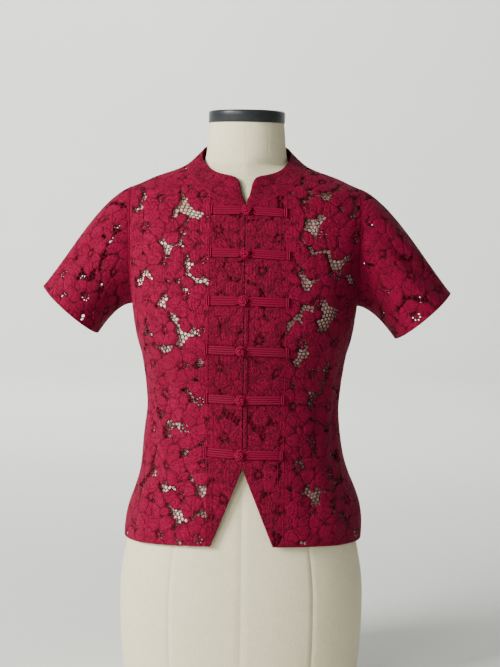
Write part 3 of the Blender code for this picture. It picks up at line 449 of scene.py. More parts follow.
# Seams of the form's linen cover, in degrees round from the centre front
FORM_SEAMS = (0.0, 33.0, -33.0, 90.0, -90.0, 147.0, -147.0, 180.0)
SEAM_WIDTH = 0.9
SEAM_DEPTH = 0.7
SEAM_TOP = 745.0
SEAM_FADE = 60.0
SEAM_LEAST = 0.12
FORM_GIRTH_RADIUS = 150.0
CAP_FOOT = 0.9
CAP_ROUND = 3.0


def smooth(places, values, at):
    """A smooth curve through a table's values, read at the places `at`."""
    places, values = np.asarray(places, float), np.asarray(values, float)
    at = np.clip(np.asarray(at, float), places[0], places[-1])
    slopes = np.gradient(values, places)
    k = np.clip(np.searchsorted(places, at) - 1, 0, len(places) - 2)
    width = places[k + 1] - places[k]
    t = (at - places[k]) / width
    return (
        values[k] * (2 * t**3 - 3 * t**2 + 1)
        + slopes[k] * width * (t**3 - 2 * t**2 + t)
        + values[k + 1] * (3 * t**2 - 2 * t**3)
        + slopes[k + 1] * width * (t**3 - t**2)
    )


def column(table, n):
    return [row[n] for row in table]


def read(table, n, heights):
    return smooth(column(table, 0), column(table, n), heights)


def armhole_reach(heights, depth):
    """How far the armhole opens forward of the shoulder line at each height."""
    share = 1 - ((heights - SLEEVE_MIDDLE) / SLEEVE_RISE) ** 2
    return depth * np.sqrt(np.clip(share, 0, None))


def half_widths(heights, lower, upper, edge, reach, front, squareness):
    """Half widths from the tables, and between them wide enough to pass through the armhole."""
    through = edge / (1 - np.clip(reach / front, 0, 0.98) ** squareness) ** (1 / squareness)
    low = read(lower, 1, heights)
    high = read(upper, 1, heights)
    return np.where(heights <= UNDERARM, low, np.where(heights >= SHOULDER_TIP, high, through))


def top_sections(heights):
    """Half width, front, back and squareness of the top at each height."""
    front, back, square = (read(TOP_DEPTHS, n, heights) for n in (1, 2, 3))
    edge = read(ARMHOLE_EDGE, 1, heights)
    reach = armhole_reach(heights, ARMHOLE_DEPTH)
    wide = half_widths(heights, TOP_WIDTHS, SHOULDER_WIDTHS, edge, reach, front, square)
    return wide, front, back, square


def form_sections(heights):
    front, back, square = (read(FORM_DEPTHS, n, heights) for n in (1, 2, 3))
    edge = np.full(len(heights), FORM_ARM_PLATE)
    reach = armhole_reach(heights, ARMHOLE_DEPTH - FORM_ARMHOLE_INSET)
    wide = half_widths(heights, FORM_WIDTHS, FORM_NECK_WIDTHS, edge, reach, front, square)
    return wide, front, back, square


def section_points(sections, heights, angles):
    """Points of the sections, a row for each height, at angles from the front round by the left."""
    wide, front, back, square = (part[:, None] for part in sections)
    sine, cosine = np.sin(angles)[None, :], np.cos(angles)[None, :]
    x = wide * np.sign(sine) * np.abs(sine) ** (2 / square)
    depth = np.where(cosine > 0, -front, back)
    y = depth * np.abs(cosine) ** (2 / square)
    z = np.broadcast_to(heights[:, None], x.shape)
    return np.stack([x, y, z], axis=2)


class Cloth:
    """A stretch of worn cloth: a grid of points, and where each of them lies when it is flat."""

    def __init__(self, piece, points, zero_column, zero_up=0.0):
        self.points = points
        across = np.linalg.norm(np.diff(points, axis=1), axis=2)
        up = np.linalg.norm(np.diff(points, axis=0), axis=2)
        self.across = np.pad(np.cumsum(across, axis=1), ((0, 0), (1, 0)))
        self.across -= self.across[:, [zero_column]]
        self.up = np.pad(np.cumsum(up, axis=0), ((1, 0), (0, 0))) + zero_up
        self.normals = self.turned_out(self.points)
        self.points = self.points + self.normals * self.folded(piece)[..., None]
        self.normals = self.turned_out(self.points)

    @staticmethod
    def turned_out(points):
        out = np.cross(np.gradient(points, axis=1), np.gradient(points, axis=0))
        return out / np.maximum(np.linalg.norm(out, axis=2, keepdims=True), 1e-9)

    def folded(self, piece):
        """How far the soft folds move each point out of the plain shape."""
        moved = np.zeros(self.across.shape)
        for name, across, up, slant, length, width, depth in FOLDS:
            if name == piece:
                turn = math.radians(slant)
                dx, dy = self.across - across, self.up - up
                along = dx * math.sin(turn) + dy * math.cos(turn)
                beside = dx * math.cos(turn) - dy * math.sin(turn)
                moved += depth * np.exp(-((along / length) ** 2) - (beside / width) ** 2)
        return moved

    def sample(self, grid, rows, columns):
        """The grid's value between its points."""
        last_row, last_column = grid.shape[0] - 1, grid.shape[1] - 1
        rows, columns = np.clip(rows, 0, last_row), np.clip(columns, 0, last_column)
        i = np.minimum(rows.astype(int), last_row - 1)
        j = np.minimum(columns.astype(int), last_column - 1)
        a, b = rows - i, columns - j
        if grid.ndim == 3:
            a, b = a[..., None], b[..., None]
        return (
            grid[i, j] * (1 - a) * (1 - b)
            + grid[i + 1, j] * a * (1 - b)
            + grid[i, j + 1] * (1 - a) * b
            + grid[i + 1, j + 1] * a * b
        )

    def flat(self, rows, columns):
        """Where points of the grid lie on the flat cloth."""
        rows, columns = np.asarray(rows, float), np.asarray(columns, float)
        flat = [self.sample(grid, rows, columns) for grid in (self.across, self.up)]
        return np.stack(flat, axis=-1)

    def locate(self, flat):
        """The grid rows and columns of points on the flat cloth, found by Newton's steps."""
        height, width = self.across.shape
        rows = np.interp(flat[:, 1], self.up[:, width // 2], np.arange(height))
        columns = np.full(len(flat), width / 2)
        for _ in range(30):
            here = self.flat(rows, columns)
            by_row = self.flat(rows + 0.5, columns) - self.flat(rows - 0.5, columns)
            by_column = self.flat(rows, columns + 0.5) - self.flat(rows, columns - 0.5)
            miss = flat - here
            area = by_row[:, 0] * by_column[:, 1] - by_row[:, 1] * by_column[:, 0]
            area = np.where(np.abs(area) < 1e-6, 1e-6, area)
            step_row = (miss[:, 0] * by_column[:, 1] - miss[:, 1] * by_column[:, 0]) / area
            step_column = (by_row[:, 0] * miss[:, 1] - by_row[:, 1] * miss[:, 0]) / area
            rows = np.clip(rows + np.clip(step_row, -8, 8), 0.5, height - 1.5)
            columns = np.clip(columns + np.clip(step_column, -8, 8), 0.5, width - 1.5)
        return rows, columns

    def place(self, rows, columns, out):
        """Points of the worn cloth, moved out from it."""
        normals = self.sample(self.normals, rows, columns)
        normals /= np.linalg.norm(normals, axis=-1, keepdims=True)
        return self.sample(self.points, rows, columns) + normals * out


def steady(i, j, k):
    """A number from 0 to 1 that always belongs to the same place of the lace's lattice."""
    return np.abs(np.sin(i * 12.9898 + j * 78.233 + k * 37.719) * 43758.5453) % 1.0


def between(ends, share):
    return ends[0] + (ends[1] - ends[0]) * share


def flowers(low, high):
    """Lattice place, middle, radius, petals and turn of each flower near a stretch of flat cloth."""
    columns = range(int(low[0] // FLOWER_PITCH[0]) - 1, int(high[0] // FLOWER_PITCH[0]) + 2)
    rows = range(int(low[1] // FLOWER_PITCH[1]) - 1, int(high[1] // FLOWER_PITCH[1]) + 2)
    for j in rows:
        for i in columns:
            x = (i + 0.5 * (j % 2)) * FLOWER_PITCH[0] + (steady(i, j, 1) - 0.5) * FLOWER_STRAY[0]
            y = j * FLOWER_PITCH[1] + (steady(i, j, 2) - 0.5) * FLOWER_STRAY[1]
            radius = between(FLOWER_RADIUS, steady(i, j, 3))
            count = PETALS_FEWEST + int(PETALS_MORE * steady(i, j, 4))
            yield i, j, x, y, radius, count, steady(i, j, 5)


def motifs(low, high):
    """Petals and leaves in a stretch of flat cloth: middle, direction, half length, half width."""
    found = []
    for i, j, x, y, radius, count, start in flowers(low, high):
        for petal in range(count):
            turn = 2 * math.pi * (petal + start) / count
            long = (radius * between(PETAL_REACH, steady(i, j, 14 + petal)) - EYE_REACH) / 2
            reach = EYE_REACH + long
            middle = (x + reach * math.cos(turn), y + reach * math.sin(turn))
            wide = reach * math.tan(math.pi / count) * PETAL_SPREAD
            found.append((*middle, turn, long, wide))
        for k, (dx, dy) in enumerate(((0.5, 1 / 3), (1.0, 2 / 3))):
            if steady(i, j, 6 + k) < LEAF_SHARE:
                across = (i + 0.5 * (j % 2) + dx) * FLOWER_PITCH[0]
                turn = math.pi * steady(i, j, 8 + k)
                length = between(LEAF_LENGTH, steady(i, j, 10 + k))
                width = between(LEAF_WIDTH, steady(i, j, 12 + k))
                found.append((across, (j + dy) * FLOWER_PITCH[1], turn, length, width))
    return np.array(found)


def opened(shapes, spots):
    """The petals and leaves, with those over a stretch of open net pushed aside and made smaller."""
    for across, up, half_width, half_height in spots:
        dx, dy = shapes[:, 0] - across, shapes[:, 1] - up
        away = np.hypot(dx, dy)
        turned = np.arctan2(dy, dx) - shapes[:, 2]
        own = 1 / np.hypot(np.cos(turned) / shapes[:, 3], np.sin(turned) / shapes[:, 4])
        edge = away / np.hypot(dx / half_width, dy / half_height)
        cover = np.maximum(own + edge - away, 0)
        shapes[:, 0] += dx / away * cover * SPOT_PUSH
        shapes[:, 1] += dy / away * cover * SPOT_PUSH
        shapes[:, 3:] *= np.maximum(1 - (1 - SPOT_PUSH) * cover / own, SPOT_LEAST)[:, None]
    return shapes


def drifted(points):
    """Where the waver of the lace's making puts points of its regular plan."""
    x, y = points[..., 0], points[..., 1]
    sideways = DRIFT * np.sin(y / DRIFT_RUN[0] + np.sin(x / DRIFT_TURN[0]))
    upward = DRIFT * np.sin(x / DRIFT_RUN[1] + np.sin(y / DRIFT_TURN[1]))
    return points + np.stack([sideways, upward], axis=-1)


def nearest_motif(points, shapes):
    """How far out each point lies in the nearest petal or leaf: 1 is on its edge, more is in the net."""
    dx = points[:, None, 0] - shapes[None, :, 0]
    dy = points[:, None, 1] - shapes[None, :, 1]
    cosine, sine = np.cos(shapes[:, 2]), np.sin(shapes[:, 2])
    along = (dx * cosine + dy * sine) / shapes[:, 3]
    beside = (dy * cosine - dx * sine) / shapes[:, 4]
    return np.sqrt(along**2 + beside**2).min(axis=1)


def inside(points, loop):
    """Which points lie inside a closed outline."""
    x, y = points[:, 0][:, None], points[:, 1][:, None]
    a, b = loop, np.roll(loop, -1, axis=0)
    crosses = (a[:, 1] > y) != (b[:, 1] > y)
    rise = np.where(b[:, 1] == a[:, 1], 1e-12, b[:, 1] - a[:, 1])
    at = a[:, 0] + (y - a[:, 1]) * (b[:, 0] - a[:, 0]) / rise
    return (crosses & (x < at)).sum(axis=1) % 2 == 1


def distance_to(points, loop):
    """Each point's distance to a closed outline."""
    a = loop
    run = np.roll(loop, -1, axis=0) - a
    rel = points[:, None, :] - a[None]
    share = (rel * run).sum(axis=2) / np.maximum((run**2).sum(axis=1), 1e-12)
    away = rel - run * np.clip(share, 0, 1)[..., None]
    return np.linalg.norm(away, axis=2).min(axis=1)


def area_of(loop):
    ahead = np.roll(loop, -1, axis=0)
    return (loop[:, 0] * ahead[:, 1] - ahead[:, 0] * loop[:, 1]).sum() / 2


def inset(loop, distance):
    """The outline moved inwards, running anticlockwise."""
    if area_of(loop) < 0:
        loop = loop[::-1]
    forward = np.roll(loop, -1, axis=0) - loop
    forward /= np.linalg.norm(forward, axis=1, keepdims=True)
    back = np.roll(forward, 1, axis=0)
    sides = [np.stack([-way[:, 1], way[:, 0]], axis=1) for way in (forward, back)]
    middle = sides[0] + sides[1]
    middle /= np.maximum((middle * sides[0]).sum(axis=1, keepdims=True), 0.6)
    return loop + middle * distance


# The cloth's own shapes

ROWS_LOW = 212.0
ROWS_HIGH = 773.0
ROW_STEP = 3.0
TORSO_COLUMNS = 61
SPARE = 2
HEIGHTS = np.arange(ROWS_LOW, ROWS_HIGH, ROW_STEP)
QUARTER = math.pi / 2


def torso_cloth(piece, first, last, columns, zero):
    """The top's body between two angles from the centre front."""
    angles = first + (last - first) / (columns - 1) * np.arange(-SPARE, columns + SPARE)
    points = section_points(top_sections(HEIGHTS), HEIGHTS, angles)
    return Cloth(piece, points, SPARE + zero, ROWS_LOW)


def row_of(heights):
    return (np.asarray(heights, float) - ROWS_LOW) / ROW_STEP


def angle_at(heights, x):
    """The section angle at which a front or back point lies x from the middle."""
    heights = np.asarray(heights, float)
    wide, _, _, square = top_sections(heights)
    return np.arcsin(np.clip(np.asarray(x) / wide, 0, 1) ** (square / 2))


def hem_height(x):
    """The hem rises a little towards the front opening."""
    return HEM_SIDE + HEM_RISE_FRONT * (1 - (x / TOP_WIDTHS[1][1]) ** 2)


def neck_front_height(x):
    return NECK_FRONT + (NECK_SIDE - NECK_FRONT) * (x / NECK_HALF_WIDTH) ** NECK_CURVE


def neck_back_height(x):
    return NAPE - (NAPE - NECK_SIDE) * (x / NECK_HALF_WIDTH) ** 2


SHOULDER_STEPS = (SHOULDER_TIP, 735, 742, 748, 754, NECK_SIDE - 0.8)


def armhole_path(count):
    """Heights and distances of the armhole's edge, from the underarm up to the shoulder tip."""
    turn = np.linspace(0, math.pi, count)[1:-1]
    heights = SLEEVE_MIDDLE - SLEEVE_RISE * np.cos(turn)
    return heights, read(ARMHOLE_EDGE, 1, heights)


def front_outline(limit=None):
    """(height, distance from the middle) round a front piece. A facing stops at its own width."""
    edge = FRONT_OPENING / 2
    path = [(z, edge) for z in np.linspace(NECK_FRONT, VENT_TOP, 19)]
    for share in np.linspace(0, 1, 7)[1:]:
        x = edge + (VENT_HALF_WIDTH - edge) * share
        path.append((VENT_TOP + (hem_height(VENT_HALF_WIDTH) - VENT_TOP) * share, x))
    if limit:
        path += [(hem_height(x), x) for x in np.linspace(VENT_HALF_WIDTH, limit, 3)[1:]]
        path += [(z, limit) for z in np.linspace(hem_height(limit), neck_front_height(limit), 26)[1:]]
        path += [(neck_front_height(x), x) for x in np.linspace(limit, edge, 7)[1:-1]]
        return np.array(path)
    side = TOP_WIDTHS[1][1]
    corner = math.asin(VENT_HALF_WIDTH / side)
    path += [(hem_height(x), x) for x in side * np.sin(np.linspace(corner, QUARTER, 9)[1:-1])]
    path += [(z, None) for z in np.linspace(HEM_SIDE, UNDERARM, 17)]
    heights, distances = armhole_path(17)
    path += list(zip(heights, distances - SEAM_GAP))
    path += [(z, None) for z in SHOULDER_STEPS]
    path += [(neck_front_height(x), x) for x in np.linspace(NECK_HALF_WIDTH - 5, edge, 12)[:-1]]
    return np.array([(z, np.nan if x is None else x) for z, x in path], float)


def front_flat(cloth, path, side):
    """That outline on the flat cloth. A missing distance is on the side or shoulder seam."""
    angles = np.where(np.isnan(path[:, 1]), QUARTER, angle_at(path[:, 0], np.nan_to_num(path[:, 1])))
    columns = angles / QUARTER * (TORSO_COLUMNS - 1)
    if side < 0:
        columns = TORSO_COLUMNS - 1 - columns
    return cloth.flat(row_of(path[:, 0]), SPARE + columns)


def front_cloth(name, side):
    if side > 0:
        return torso_cloth(name, 0, QUARTER, TORSO_COLUMNS, 0)
    return torso_cloth(name, -QUARTER, 0, TORSO_COLUMNS, TORSO_COLUMNS - 1)


def open_spots(name, cloth, side):
    """The piece's stretches of bare net, on the flat cloth."""
    rows = np.array(OPEN_SPOTS[name])
    middles = front_flat(cloth, rows[:, :2], side)
    return np.concatenate([middles, rows[:, 2:]], axis=1)


def back_cloth(name):
    return torso_cloth(name, QUARTER, 3 * QUARTER, 2 * TORSO_COLUMNS - 1, TORSO_COLUMNS - 1)


def back_flat(cloth):
    """The back's outline on the flat cloth, up its left side, over the neck and down its right side."""
    heights, distances = armhole_path(17)
    half = [(z, None) for z in np.linspace(HEM_SIDE, UNDERARM, 17)]
    half += list(zip(heights, distances - SEAM_GAP))
    half += [(z, None) for z in SHOULDER_STEPS]
    half += [(neck_back_height(x), x) for x in np.linspace(NECK_HALF_WIDTH - 5, 0, 8)[:-1]]
    half = np.array([(z, np.nan if x is None else x) for z, x in half], float)
    angles = QUARTER - angle_at(half[:, 0], np.nan_to_num(half[:, 1]))
    angles = np.where(np.isnan(half[:, 1]), 0, angles)
    left = np.stack([row_of(half[:, 0]), angles / QUARTER * (TORSO_COLUMNS - 1)], axis=1)
    last = 2 * (TORSO_COLUMNS - 1)
    nape = np.array([[row_of(NAPE), last / 2]])
    right = left[::-1] * (1, -1) + (0, last)
    across = last * np.linspace(1, 0, 22)[1:-1]
    hem = np.stack([np.full(len(across), row_of(HEM_SIDE)), across], axis=1)
    chart = np.concatenate([left, nape, right, hem])
    return inset(cloth.flat(chart[:, 0], SPARE + chart[:, 1]), SEAM_GAP / 2)


SLEEVE_STEPS = 48


def sleeve_cloth(name, side):
    """A sleeve from its hem up to the armhole, with its top line in the middle of the grid."""
    steps = SLEEVE_STEPS
    turns = math.pi * np.arange(-steps - SPARE, steps + 1 + SPARE) / steps
    shares = 1 - np.arange(-SPARE, steps + 1 + SPARE) / steps
    heights = SLEEVE_MIDDLE + SLEEVE_RISE * np.cos(turns)
    _, front_depth, back_depth, _ = top_sections(heights)
    reach = ARMHOLE_DEPTH * np.abs(np.sin(turns))
    depth = np.where(np.sin(turns) < 0, -reach, reach * back_depth / front_depth)
    start = np.stack([read(ARMHOLE_EDGE, 1, heights) + SLEEVE_GAP, depth, heights], axis=1)
    upward = np.array([math.sin(SLEEVE_SLANT), 0, math.cos(SLEEVE_SLANT)])
    outward = np.array([math.cos(SLEEVE_SLANT), 0, -math.sin(SLEEVE_SLANT)])
    centre = np.array([SLEEVE_HEM_CENTRE[name][0], 0, SLEEVE_HEM_CENTRE[name][1]])
    forward = np.stack([0 * turns, np.sin(turns), 0 * turns], axis=1)
    end = centre + SLEEVE_HEM_HALF_HEIGHT * np.cos(turns)[:, None] * upward
    end = end + SLEEVE_HEM_HALF_DEPTH * forward
    high = (1 + np.cos(turns[:, None])) / 2
    pull = SLEEVE_PULL_UNDER + (SLEEVE_PULL_TOP - SLEEVE_PULL_UNDER) * high
    leaving = np.array([1.0, 0, -0.04]) - high * (0, 0, 0.38) + 0.25 * forward
    leaving /= np.linalg.norm(leaving, axis=1, keepdims=True)
    arriving = outward + 0.10 * forward - (1 - high) * (0.12, 0, 0.05)
    t = shares[:, None, None]
    points = (
        start * (2 * t**3 - 3 * t**2 + 1)
        + leaving * pull * (t**3 - 2 * t**2 + t)
        + end * (3 * t**2 - 2 * t**3)
        + arriving * pull * (t**3 - t**2)
    )
    if side < 0:
        points = points[:, ::-1] * (-1, 1, 1)
    return Cloth(name, points, steps + SPARE)


def sleeve_halves(side):
    """The name of each half of a sleeve, and the column of the grid at which it starts."""
    middle = SLEEVE_STEPS
    return (("front", 0 if side > 0 else middle), ("back", middle if side > 0 else 0))


def sleeve_flat(cloth, first):
    """The outline of half a sleeve on the flat cloth: hem, one seam, armhole and the other seam."""
    across = np.linspace(first, first + SLEEVE_STEPS, 13)
    up = np.linspace(0, SLEEVE_STEPS, 9)
    chart = [(0, c) for c in across]
    chart += [(r, first + SLEEVE_STEPS) for r in up[1:]]
    chart += [(SLEEVE_STEPS, c) for c in across[::-1][1:]]
    chart += [(r, first) for r in up[::-1][1:-1]]
    chart = np.array(chart, float) + SPARE
    return inset(cloth.flat(chart[:, 0], chart[:, 1]), SEAM_GAP / 2)


COLLAR_SHARES = (-0.05, 1.05)


def collar_cloth(name):
    """The stand collar from its seam to its top edge, from the left front round by the back."""
    turns = np.radians(np.linspace(0, 360, 145))
    fold = np.degrees(np.minimum(turns, 2 * math.pi - turns))
    sine, cosine = np.sin(turns), np.cos(turns)
    base_x = NECK_HALF_WIDTH * sine
    heights = np.where(
        cosine > 0, neck_front_height(np.abs(base_x)), neck_back_height(np.abs(base_x))
    )
    wide, front_depth, back_depth, square = top_sections(heights)
    share = np.clip(1 - (np.abs(base_x) / wide) ** square, 0, None) ** (1 / square)
    depth = np.where(cosine > 0, -front_depth, back_depth) * share
    base = np.stack([base_x, depth, heights], axis=1)
    top = np.stack(
        [
            COLLAR_TOP_HALF_WIDTH * sine,
            np.where(cosine > 0, -COLLAR_TOP_FRONT, -COLLAR_TOP_BACK) * cosine,
            read(COLLAR_TOP, 1, fold),
        ],
        axis=1,
    )
    shares = np.linspace(*COLLAR_SHARES, 23)[:, None, None]
    return Cloth(name, base + (top - base) * shares, 72)


def collar_ends(cloth):
    """The grid rows of the collar's seam and top edge."""
    spread = (cloth.across.shape[0] - 1) / (COLLAR_SHARES[1] - COLLAR_SHARES[0])
    return (COLLAR_SEAM - COLLAR_SHARES[0]) * spread, (1 - COLLAR_SHARES[0]) * spread


def collar_flat(cloth):
    """The collar's outline on the flat cloth: its seam, one rounded front, its top edge, the other."""
    low, high = collar_ends(cloth)
    last = cloth.across.shape[1] - 1
    edge = []
    for share, x in ((COLLAR_SEAM, FRONT_OPENING / 2 + SEAM_GAP), *COLLAR_FRONT_EDGE):
        wide = NECK_HALF_WIDTH + (COLLAR_TOP_HALF_WIDTH - NECK_HALF_WIDTH) * share
        edge.append((low + (high - low) * share, math.degrees(math.asin(x / wide)) / 360 * last))
    edge = np.array(edge)
    far = edge * (1, -1) + (0, last)
    seam = np.linspace(edge[0, 1], far[0, 1], 45)[1:-1]
    top = np.linspace(far[-1, 1], edge[-1, 1], 39)[1:-1]
    seam = np.stack([np.full(len(seam), low), seam], axis=1)
    top = np.stack([np.full(len(top), high), top], axis=1)
    chart = np.concatenate([seam, far, top, edge[::-1]])
    return cloth.flat(chart[:, 0], chart[:, 1])


def flat_height(cloth, height):
    """How far up the flat cloth the opening edge is at a height."""
    zero = int(np.abs(cloth.across[0]).argmin())
    return float(np.interp(height, HEIGHTS, cloth.up[:, zero]))


def stepped(loop, step):
    """The outline with points no further apart than a step."""
    ahead = np.roll(loop, -1, axis=0)
    out = []
    for here, there in zip(loop, ahead):
        count = max(1, math.ceil(np.linalg.norm(there - here) / step))
        out += [here + (there - here) * n / count for n in range(count)]
    return np.array(out)


def compass(count):
    """Angles and directions evenly round a turn."""
    turns = np.arange(count) * 2 * math.pi / count
    return turns, np.stack([np.cos(turns), np.sin(turns)], axis=1)


def petal_reach(shapes):
    """How far each petal or leaf reaches each way before its own edge or a neighbour stops it."""
    turns, ways = compass(RING_POINTS)
    apart = np.linalg.norm(shapes[:, None, :2] - shapes[None, :, :2], axis=2)
    others = shapes[np.argsort(apart, axis=1)[:, 1 : NEIGHBOURS + 1]]
    turned = turns[None] - shapes[:, 2:3]
    own = 1 / np.hypot(np.cos(turned) / shapes[:, 3:4], np.sin(turned) / shapes[:, 4:5])
    chance = steady(shapes[:, :1], shapes[:, 1:2], 31)
    waves = WAVES_FEWEST + np.floor(WAVES_MORE * chance)
    own *= 1 + WAVE * np.sin(waves * turns[None] + 40 * chance)
    low, high = np.zeros_like(own), own.copy()
    for _ in range(HALVINGS):
        middle = (low + high) / 2
        points = shapes[:, None, :2] + ways[None] * middle[..., None]
        dx = points[:, :, None, 0] - others[:, None, :, 0]
        dy = points[:, :, None, 1] - others[:, None, :, 1]
        cosine, sine = np.cos(others[:, None, :, 2]), np.sin(others[:, None, :, 2])
        along = (dx * cosine + dy * sine) / others[:, None, :, 3]
        beside = (dy * cosine - dx * sine) / others[:, None, :, 4]
        free = middle / own < np.hypot(along, beside).min(axis=2)
        low, high = np.where(free, middle, low), np.where(free, high, middle)
    return ways, low


def net_cells(outline, shift, shapes):
    """Every gap of the net, on the flat cloth, cut short where a petal, a leaf or an eye stops it."""
    low, high = outline.min(axis=0) + shift, outline.max(axis=0) + shift
    rows = range(int(low[1] // NET_PITCH[1]), int(high[1] // NET_PITCH[1]) + 2)
    columns = range(int(low[0] // NET_PITCH[0]), int(high[0] // NET_PITCH[0]) + 2)
    middles = [((i + 0.5 * (j % 2)) * NET_PITCH[0], j * NET_PITCH[1]) for j in rows for i in columns]
    middles = np.array(middles) - shift
    middles = middles[nearest_motif(middles, shapes) > CELL_CLEAR]
    middles = middles[inside(drifted(middles), outline)]
    middles = middles[distance_to(drifted(middles), outline) > HOLE_MARGIN]
    turns, ways = compass(CELL_SIDES)
    corner = math.pi / 6
    full = NET_HOLE * math.cos(corner) / np.cos((turns + corner) % (2 * corner) - corner)
    low = np.zeros((len(middles), CELL_SIDES))
    high = np.broadcast_to(full, low.shape).copy()
    for _ in range(CELL_HALVINGS):
        middle = (low + high) / 2
        points = middles[:, None] + ways[None] * middle[..., None]
        free = nearest_motif(points.reshape(-1, 2), shapes).reshape(middle.shape) > CELL_CLEAR
        low, high = np.where(free, middle, low), np.where(free, high, middle)
    cells = []
    for centre, reach in zip(middles, low):
        if reach.mean() > SMALLEST_HOLE and reach.min() > SHORTEST_HOLE:
            whole = reach.min() > WHOLE_HOLE * full.min()
            kept = slice(1, None, 2) if whole else slice(None)
            cells.append(drifted(centre + ways[kept] * reach[kept, None]))
    return cells


def eyes(low, high, shift, shapes):
    """The middle of every flower whose eye no neighbour covers."""
    middles = np.array([flower[2:4] for flower in flowers(low, high)]) - shift
    return middles[nearest_motif(middles, shapes) > EYE_CLEAR]


class Sheet:
    """A flat piece's points, edges and gaps. Each point has its height, depth into a petal, and tone."""

    def __init__(self, outline):
        self.points, self.edges, self.faces, self.marks = [], [], [], []
        self.loop(outline, NET_FRONT, 0.0, TONES["wall"], face=True)

    def loop(self, points, height, depth, tone, face=False):
        first, count = len(self.points), len(points)
        self.points += list(points)
        self.marks += [(height, depth, tone)] * count
        if face:
            self.faces.append(list(range(first, first + count)))
        else:
            self.edges += [(first + n, first + (n + 1) % count) for n in range(count)]

    def spot(self, point, height, depth, tone):
        self.points.append(point)
        self.marks.append((height, depth, tone))

    def cut(self):
        """Triangles of the piece without its gaps, and each point's marks."""
        corners = [Vector(p) for p in self.points]
        made = geometry.delaunay_2d_cdt(corners, self.edges, self.faces, 1, 1e-4, True)
        flat = np.array([tuple(p) for p in made[0]])
        kept = np.array([f for f, owners in zip(made[2], made[5]) if set(owners) == {0}])
        marks = np.full((len(flat), 3), np.nan)
        for n, sources in enumerate(made[3]):
            if sources:
                marks[n] = self.marks[max(sources, key=lambda k: self.marks[k][0])]
        unknown = np.isnan(marks[:, 0])
        total, count = np.zeros((len(flat), 3)), np.zeros((len(flat), 1))
        for a, b in ((0, 1), (1, 2), (2, 0), (1, 0), (2, 1), (0, 2)):
            good = ~unknown[kept[:, b]]
            np.add.at(total, kept[good, a], marks[kept[good, b]])
            np.add.at(count, kept[good, a], 1)
        marks[unknown] = (total / np.maximum(count, 1))[unknown]
        return flat, kept, marks


def raise_petals(sheet, shapes):
    """Each petal's corded edge, its crest and, where it is large, its dished middle."""
    ways, reach = petal_reach(shapes)
    tones = steady(shapes[:, 0], shapes[:, 1], 30)
    for shape, own, tone in zip(shapes, reach, tones):
        edge = own - PETAL_GAP
        if edge.mean() > SMALLEST_PETAL:
            edge = np.maximum(edge, LEAST_REACH)
            crest = np.maximum(edge - CORD_TO_CREST, LEAST_CREST)
            sheet.loop(drifted(shape[:2] + ways * edge[:, None]), PETAL_FOOT, 0.0, tone)
            sheet.loop(drifted(shape[:2] + ways * crest[:, None]), CREST, CORD_TO_CREST, tone)
            if crest.mean() > DISHED_PETAL:
                floor = crest * DISH_SHARE
                depth = (edge - floor).mean()
                sheet.loop(drifted(shape[:2] + ways * floor[:, None]), PETAL_FLOOR, depth, tone)
                sheet.spot(drifted(shape[:2]), PETAL_FLOOR, edge.mean(), tone)


def open_net(sheet, outline, shift, shapes, centres):
    """The gaps of the net between the petals, and the ring of small holes round each eye."""
    blocked = [(*centre, 0.0, EYE_REACH, EYE_REACH) for centre in centres]
    blocked = np.concatenate([shapes, blocked]) if blocked else shapes
    for cell in net_cells(outline, shift, blocked):
        sheet.loop(cell, NET_FRONT, 0.0, TONES["net"], face=True)
    ways, hexagon = compass(EYE_HOLES)[1], compass(CELL_SIDES)[1][::2]
    for centre in centres:
        for middle in centre + EYE_RING * ways:
            if nearest_motif(middle[None], shapes)[0] > EYE_HOLE_CLEAR:
                hole = drifted(middle + hexagon * EYE_HOLE)
                sheet.loop(hole, NET_FRONT, 0.0, TONES["eye hole"], face=True)


def lace(name, family, cloth, outline, spots=(), openwork=True, inner=INNER_FACE):
    """A piece of corded lace on its cloth: petals and leaves in relief, and net between them."""
    outline = outline if area_of(outline) > 0 else outline[::-1]
    outline = stepped(outline, OUTLINE_STEP)
    shift = np.array(LACE_SHIFT[family])
    low, high = outline.min(axis=0) + shift, outline.max(axis=0) + shift
    shapes = opened(motifs(low, high) - np.array([*shift, 0, 0, 0]), spots)
    middles = drifted(shapes[:, :2])
    shapes = shapes[inside(middles, outline) | (distance_to(middles, outline) < NEAR_OUTLINE)]
    sheet = Sheet(outline)
    sheet.loop(inset(outline, EDGE_WIDTH), EDGE_ROLL, CORD_TO_CREST, TONES["edge"])
    raise_petals(sheet, shapes)
    centres = eyes(low, high, shift, shapes)
    worn = drifted(centres)
    centres = centres[inside(worn, outline) & (distance_to(worn, outline) > EYE_REACH)]
    ways = compass(CELL_SIDES)[1]
    for centre in centres:
        sheet.loop(drifted(centre + ways * EYE_DISC), NET_FRONT, 0.0, TONES["eye"])
        crest = drifted(centre + ways * (EYE_DISC - CORD_TO_CREST))
        sheet.loop(crest, CREST, CORD_TO_CREST, TONES["eye"])
    if openwork:
        open_net(sheet, outline, shift, shapes, centres)
    return cloth_object(name, cloth, *sheet.cut(), inner)


